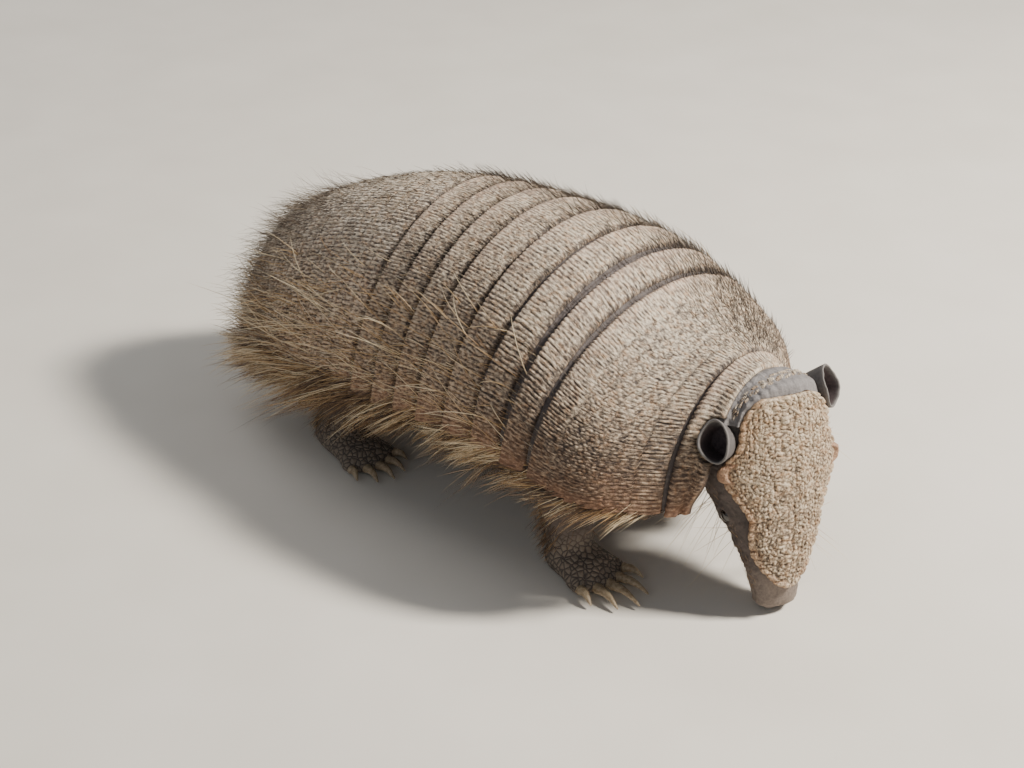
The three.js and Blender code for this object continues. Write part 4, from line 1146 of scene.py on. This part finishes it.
class Finish:
    """A material with one Principled shader, and the nodes that feed it."""

    def __init__(self, name, **constants):
        self.material = bpy.data.materials.new(name)
        self.material.use_nodes = True
        self.tree = self.material.node_tree
        self.tree.nodes.clear()
        sockets = {key.replace("_", " "): value for key, value in constants.items()}
        self.shader = self.add("ShaderNodeBsdfPrincipled", sockets=sockets)
        self.add("ShaderNodeOutputMaterial", sockets={0: self.shader.outputs[0]})
        self.place = self.add("ShaderNodeTexCoord").outputs["Object"]

    def feed(self, node, sockets):
        """Sets a node's sockets, by name or number, to constants or links."""
        for key, value in sockets.items():
            socket = node.inputs[key]
            value = value.socket if isinstance(value, Value) else value
            if isinstance(value, bpy.types.NodeSocket):
                self.tree.links.new(value, socket)
            else:
                socket.default_value = (*value, 1) if socket.type == "RGBA" else value

    def add(self, kind, settings=None, sockets=None):
        """A node of a kind: its settings first, then its sockets."""
        node = self.tree.nodes.new(kind)
        for key, value in (settings or {}).items():
            setattr(node, key, value)
        self.feed(node, sockets or {})
        return node

    def value(self, output, kind, settings=None, sockets=None):
        """One output of a new node, as a number for arithmetic."""
        return Value(self, self.add(kind, settings, sockets).outputs[output])

    def attributes(self, *names):
        """Numbers stored on the mesh's points."""
        return [self.value("Fac", "ShaderNodeAttribute", {"attribute_name": name}) for name in names]

    def noise(self, size_mm, detail=4.0, roughness=0.6, place=None):
        """Fractal noise from 0 to 1 with features of a size in millimetres."""
        sockets = {"Scale": 1 / (size_mm * MM), "Detail": detail, "Roughness": roughness}
        sockets["Vector"] = place or self.place
        return self.value("Fac", "ShaderNodeTexNoise", sockets=sockets)

    def cells(self, size_mm, feature="F1"):
        """Distance to the nearest of scattered points, or to the edge between two."""
        sockets = {"Vector": self.place, "Scale": 1 / (size_mm * MM)}
        return self.value("Distance", "ShaderNodeTexVoronoi", {"feature": feature}, sockets)

    def streaks(self, wide_mm, long_mm):
        """Noise drawn out along the body, from the distances across and along it that the mesh holds."""
        across, along = self.attributes("across", "along")
        sockets = {0: across * (1 / wide_mm), 1: along * (1 / long_mm)}
        place = self.add("ShaderNodeCombineXYZ", sockets=sockets).outputs[0]
        return self.noise(1 / MM, 3.0, 0.6, place)

    def ramp(self, value, *stops):
        """Colours by a value, from stops that are each a place and a colour."""
        node = self.add("ShaderNodeValToRGB", sockets={0: value})
        elements = node.color_ramp.elements
        while len(elements) < len(stops):
            elements.new(0.5)
        for element, (at, colour) in zip(elements, stops):
            element.position = at
            element.color = (*colour, 1)
        return node.outputs[0]

    def mix(self, a, b, share, mode="MIX"):
        """Two colours mixed by a share from 0 to 1."""
        settings = {"data_type": "RGBA", "blend_type": mode}
        return self.add("ShaderNodeMix", settings, {0: share, 6: a, 7: b}).outputs[2]

    def finish(self, colour, roughness=None, height=None, depth_mm=0.2):
        """Sets what varies: base colour, roughness and a bump of a depth in millimetres."""
        self.feed(self.shader, {"Base Color": colour})
        if roughness is not None:
            bump = self.add("ShaderNodeBump", sockets={"Distance": depth_mm * MM, "Height": height})
            self.feed(self.shader, {"Roughness": roughness, "Normal": bump.outputs[0]})
        return self.material


def scute_finish(name, pale, middle, dark, groove, streak=(0.95, 2.6), contrast=2.7):
    """Dusty horn: dark in the grooves, paler on the ridges, pinkish at the free rear tips, orange-brown along
    the rims, darker and warmer low on the flanks (partly their own warmer tone, partly painted shade), each
    scute a little different, with fine grain and specks."""
    f = Finish(name, Roughness=0.8)
    ridge, tone, top, tip, margin = f.attributes("pale", "tone", "top", "tip", "margin")
    dust, grain, dash = f.noise(11.0, 5.0, 0.65), f.noise(0.8, 3.0, 0.7), f.streaks(*streak)
    flush, fleck, pores = f.noise(24.0, 2.0, 0.5), f.noise(2.6, 2.0, 0.6), f.cells(1.0)
    level = ridge * 0.82 + tone * 0.13 + (dust - 0.5) * 0.40 + (grain - 0.5) * 0.70 + (dash - 0.5) * contrast
    colour = f.ramp((level - 0.07).clamped(), (0.06, groove), (0.40, dark), (0.68, middle), (0.98, pale))
    colour = f.mix(colour, (0.86, 0.70, 0.57), ((fleck - 0.46) * 4.0).clamped(), "MULTIPLY")
    # Darker and warmer where top is low: partly the flanks' own warmer tone, partly painted shade where the
    # surface turns away from the light.
    low = ((1 - top) * 0.85 + (flush - 0.5) * 0.5).clamped()
    colour = f.mix(colour, (0.68, 0.49, 0.34), low * 0.85, "MULTIPLY")
    colour = f.mix(colour, (0.60, 0.42, 0.33), (tip * ridge * (0.30 + flush * 0.5)).clamped())
    rusty = f.ramp(grain * 0.5 + dust * 0.5, (0.3, (0.15, 0.070, 0.040)), (0.75, (0.40, 0.205, 0.118)))
    colour = f.mix(colour, rusty, (margin * (0.55 + (flush - 0.5) * 0.9)).clamped())
    return f.finish(colour, 0.64 + 0.28 * (1 - ridge), grain * 0.6 + pores * 0.4 + dash * 1.2, 0.40)


def skin_finish():
    """Wrinkled grey-brown skin, the cheeks dark grey-brown and darkened further by painted shade, the nose
    mottled grey-brown and darkened by painted shade too, with scaly feet, ringed tail and smooth grey ears
    that are purplish-brown inside with a pale rim."""
    f = Finish("skin", Roughness=0.75)
    face, snout, ear, foot, tail = f.attributes("face", "snout", "ear", "foot", "tail")
    hollow, lip, nape = f.attributes("hollow", "lip", "nape")
    blotch, fine = f.noise(11.0, 4.0, 0.6), f.noise(1.2, 4.0, 0.7)
    scales, even = f.cells(2.6, "DISTANCE_TO_EDGE"), fine * 0.6 + blotch * 0.4
    horny = (foot * 0.85 + tail * 0.5).clamped()
    # Where each tone lies over the ones before it, the value it varies by, and its darkest and palest colour.
    tones = (
        # Face: the cheeks' own dark grey-brown, darkened further by painted shade.
        (face, blotch * 0.6 + fine * 0.5 - 0.05, (0.3, (0.042, 0.033, 0.031)), (0.8, (0.125, 0.095, 0.082))),
        # Snout: its own mottled grey-brown, darkened by painted shade.
        (snout, even, (0.32, (0.09, 0.070, 0.060)), (0.68, (0.27, 0.215, 0.18))),
        (horny, (scales * 3.2).clamped(), (0.05, (0.060, 0.047, 0.040)), (0.5, (0.25, 0.20, 0.155))),
        (nape * 0.9, fine * 0.5 + blotch * 0.5, (0.3, (0.12, 0.11, 0.11)), (0.75, (0.25, 0.232, 0.23))),
        (ear, even, (0.3, (0.055, 0.050, 0.052)), (0.75, (0.14, 0.128, 0.127))),
        (hollow, fine, (0.3, (0.060, 0.046, 0.048)), (0.8, (0.135, 0.100, 0.104))),
    )
    level = blotch * 0.7 + fine * 0.4 - 0.05
    colour = f.ramp(level, (0.25, (0.055, 0.042, 0.037)), (0.75, (0.150, 0.115, 0.095)))
    for share, level, dark, pale in tones:
        colour = f.mix(colour, f.ramp(level, dark, pale), share)
    colour = f.mix(colour, (0.17, 0.158, 0.153), lip * 0.75)
    wrinkles = f.cells(3.4, "DISTANCE_TO_EDGE") * 1.4 + fine * 0.35
    relief = wrinkles * (1 - foot) * (1 - ear) * (1 - snout) + scales * foot * 2.2 + fine * 0.3
    return f.finish(colour, 0.66 + 0.16 * fine, relief, 0.55)


def grained_finish(name, grain, dark, pale, high=0.75, blotch=None, rough=None, depth_mm=0.0, **constants):
    """Two colours by a fine grain, or by the mean of it and a coarser one, with the grain's bump."""
    f = Finish(name, **constants)
    fine = f.noise(*grain)
    level = fine * 0.5 + f.noise(*blotch) * 0.5 if blotch else fine
    return f.finish(f.ramp(level, (0.3, dark), (high, pale)), rough and rough + 0.2 * fine, fine, depth_mm)


def bristle_finish(name, *tones):
    """Hair from dark brown to straw by each bristle's tint, darker at its root."""
    f = Finish(name, Roughness=0.48)
    tint, run = f.attributes("tint", "run")
    drift = f.noise(14.0, 2.0, 0.5)
    level = (tint * 0.88 + run * 0.36 + drift * 0.24 - 0.22).clamped()
    f.feed(f.shader, {"Roughness": 0.42 + 0.15 * drift})
    return f.finish(f.ramp(level, *zip((0.05, 0.38, 0.66, 0.97), tones)))


# ---------- Camera, floor and light ----------

CAMERA_TURN = np.radians(41.2)
CAMERA_RISE = np.radians(29.8)
CAMERA_DISTANCE = 0.861
CAMERA_TARGET = Vector((0.0104, 0.0026, 0.0388))
LENS = 63.28                   # millimetres, on a sensor as wide as SENSOR
SENSOR = 36.0
FLOOR_HALF = 6.0
SKY, SKY_POWER = (0.90, 0.95, 1.0, 1), 0.22
# Direction, distance and size in metres, power and colour of each lamp.
LAMPS = {
    "key": ((0.60, 0.39, 0.70), 1.6, 0.22, 56, (1.0, 0.94, 0.84)),
    "fill": ((0.15, -0.85, 0.50), 2.2, 1.6, 4, (0.95, 0.97, 1.0)),
    "back": ((-0.8, 0.1, 0.6), 2.2, 1.4, 15, (1.0, 0.97, 0.93)),
}


def camera():
    """The camera looks at its target from a turn and a rise, level with the horizon."""
    lens = bpy.data.cameras.new("camera")
    lens.lens, lens.sensor_width, lens.sensor_fit = LENS, SENSOR, "HORIZONTAL"
    lens.clip_start, lens.clip_end = 0.01, 50.0
    piece = linked("camera", lens)
    back = Vector((np.sin(CAMERA_TURN) * np.cos(CAMERA_RISE), -np.cos(CAMERA_TURN) * np.cos(CAMERA_RISE),
                   np.sin(CAMERA_RISE)))
    right = Vector((np.cos(CAMERA_TURN), np.sin(CAMERA_TURN), 0))
    turn = Matrix((right, back.cross(right), back)).transposed()
    piece.matrix_world = Matrix.Translation(CAMERA_TARGET + back * CAMERA_DISTANCE) @ turn.to_4x4()
    bpy.context.scene.camera = piece


def studio():
    """A pale floor, a warm key light from the front left and above, and soft fill all round."""
    mesh = bpy.data.meshes.new("studio_floor")
    corners = [(x * FLOOR_HALF, y * FLOOR_HALF, 0) for x, y in ((-1, -1), (1, -1), (1, 1), (-1, 1))]
    mesh.from_pydata(corners, [], [(0, 1, 2, 3)])
    mesh.materials.append(grained_finish("studio_floor", (60.0, 2.0, 0.5), (0.70, 0.66, 0.60),
                                         (0.74, 0.70, 0.64), 0.7, Roughness=0.9))
    floor = linked("studio_floor", mesh)
    for name, (towards, distance, size, power, colour) in LAMPS.items():
        lamp = bpy.data.lights.new(name, "AREA")
        lamp.shape, lamp.size, lamp.energy, lamp.color = "SQUARE", size, power, colour
        away = Vector(towards).normalized()
        facing = away.to_track_quat("Z", "Y").to_matrix().to_4x4()
        linked(name, lamp).matrix_world = Matrix.Translation(away * distance) @ facing
    world = bpy.data.worlds.new("studio")
    world.use_nodes = True
    sky = world.node_tree.nodes["Background"].inputs
    sky[0].default_value, sky[1].default_value = SKY, SKY_POWER
    bpy.context.scene.world = world


# ---------- Assembly ----------


def settle(slot, piece, *nodes):
    """Puts a piece on the model's one body and lets it stand for CAD nodes; slot is not used."""
    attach(piece, "root")
    if nodes:
        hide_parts(*nodes)


def shell():
    """The plates of the back, from the rump to the nuchal band, and the bare folds between them."""
    back = scute_finish("back_scutes", (0.65, 0.56, 0.44), (0.39, 0.325, 0.255), (0.18, 0.144, 0.115),
                        (0.054, 0.043, 0.039))
    rump = scute_finish("rump_scutes", (0.82, 0.72, 0.59), (0.53, 0.45, 0.365), (0.24, 0.195, 0.16),
                        (0.070, 0.056, 0.050))
    seams, folds = [*BAND_SEAMS, NUCHAL_SEAM], [*FOLD_WIDTHS, NUCHAL_FOLD]
    edges, gaps = [SHELL_REAR, *seams, SHELL_FRONT], [0.0, *folds, 0.0]

    def add(number, slot, name, node, finish, **looks):
        ends = slice(number, number + 2)
        settle(slot, armour(name, edges[ends], gaps[ends], finish, **looks), node)

    add(0, "rump_scutes", "pelvic_scutes", "pelvic_shield", rump, rows=[7.4] * 14 + [9.0],
        striped=range(8, 15), seed=11, grid=(0.88, 0.55), faint=0.15)
    for i in range(7):
        add(i + 1, "back_scutes", f"band_scutes_{7 - i}", f"band_{7 - i}", back, crown=CROWN, seed=20 + i,
            worn=0.2, lanes=4 if i < 4 else LANES, faint=0.45 - 0.06 * i)
    add(8, "back_scutes", "shoulder_scutes", "shoulder_shield", back, rows=[10.5, 6.8, 6.6, 6.6, 6.8, 8.4],
        striped=(0, 5), seed=41, worn=0.3, lanes=4)
    add(9, "back_scutes", "nuchal_scutes", "nuchal_band", back, seed=51, faint=0.3)
    grain, blotch = (1.0, 4.0, 0.65), (8.0, 3.0, 0.6)
    grey, smooth_grey = (
        grained_finish(name, grain, dark, pale, blotch=blotch, rough=0.62, depth_mm=0.25, Roughness=0.7)
        for name, dark, pale in (("fold_skin", (0.062, 0.050, 0.048), (0.135, 0.112, 0.108)),
                                 ("neck_skin", (0.13, 0.12, 0.122), (0.27, 0.252, 0.25))))
    for i, (seam, width) in enumerate(zip(seams, folds)):
        settle("skin", fold(f"fold_{i + 1}", seam, width, grey))
    settle("skin", neck_folds(smooth_grey))
    settle("back_scutes", neck_scutes(back))


def flesh():
    """The one skin, with the eyes, claws and head shield that stay apart from it."""
    nodes = ["trunk", "neck", "head", "tail_base", "tail_middle", "tail_tip", "ear_right", "ear_left"]
    nodes += [f"leg_{end}_{side}" for end in ("front", "hind") for side in ("right", "left")]
    settle("skin", skin(skin_finish()), *nodes)
    face = scute_finish("head_scutes", (0.66, 0.54, 0.395), (0.45, 0.35, 0.245), (0.225, 0.165, 0.115),
                        (0.085, 0.062, 0.046), (0.9, 1.2), 2.8)
    settle("head_scutes", head_shield(face), "head_shield")
    wet = grained_finish("eyeball", (1.0, 2.0, 0.5), (0.006, 0.004, 0.003), (0.022, 0.012, 0.007), 0.8,
                         Roughness=0.08, Coat_Weight=0.6)
    horn = grained_finish("claw_horn", (1.6, 3.0, 0.6), (0.21, 0.145, 0.085), (0.50, 0.40, 0.27), rough=0.36,
                          depth_mm=0.12, Roughness=0.42)
    for side, name in SIDES.items():
        settle("eyeball", eyeball(side, wet), f"eye_{name}")
        for end, foot, lengths in (("front", FRONT_FOOT, FRONT_CLAWS), ("hind", HIND_FOOT, HIND_CLAWS)):
            _, _, starts, headings = foot_plan(foot, side)
            for i, (start, heading, length) in enumerate(zip(starts, headings, lengths)):
                tag = f"{end}_{name}_{i + 1}"
                settle("claw_horn", claw(f"claw_horn_{tag}", start, heading, length, horn), f"claw_{tag}")


def coat():
    """All the bristles."""
    straw = bristle_finish("straw_bristles", (0.050, 0.030, 0.019), (0.22, 0.125, 0.062),
                           (0.54, 0.345, 0.165), (0.90, 0.76, 0.53))
    brown = bristle_finish("brown_bristles", (0.036, 0.025, 0.020), (0.13, 0.092, 0.064), (0.37, 0.29, 0.205),
                           (0.72, 0.63, 0.51))
    pieces = []
    for side in SIDES:
        pieces += [rim_fringe(side, locks=210, each=20, finish=straw),
                   flank_bristles(side, long_ones=520, short_ones=3400, finish=straw)]
    pieces += [
        haze("coat_shield", 96, 12000, brown, reach=(HAIR_REAR, 0.62), taper=1.5, margin=0.04, end=0.6,
             back=1, lift=(0.22, 0), sway=0.12, bend=(-0.25, 0), curl=0, lengths=(4.0, 9.0), sink=0.4,
             tint=(0.76, 0.30), radius=(0.13, 0.20), rings=3),
        back_bristles(11500, brown),
        haze("coat_rump", 91, 3200, brown, reach=(-0.058, 0.22), taper=2.2, margin=0.03, end=0.17,
             back=[1, 0.6, 0.2], lift=(0.30, 0.12), sway=0.22, bend=(0, 0.35), curl=0.22, lengths=(9, 25),
             sink=0.6, tint=(0.52, 0.24), radius=(0.09, 0.14)),
        belly_bristles(5200, brown),
        leg_bristles(1200, straw),
        face_bristles(1500, whiskers=90, finish=straw),
        tail_bristles(900, brown),
    ]
    for piece in pieces:
        settle("bristle", piece)


camera()
studio()
shell()
flesh()
coat()
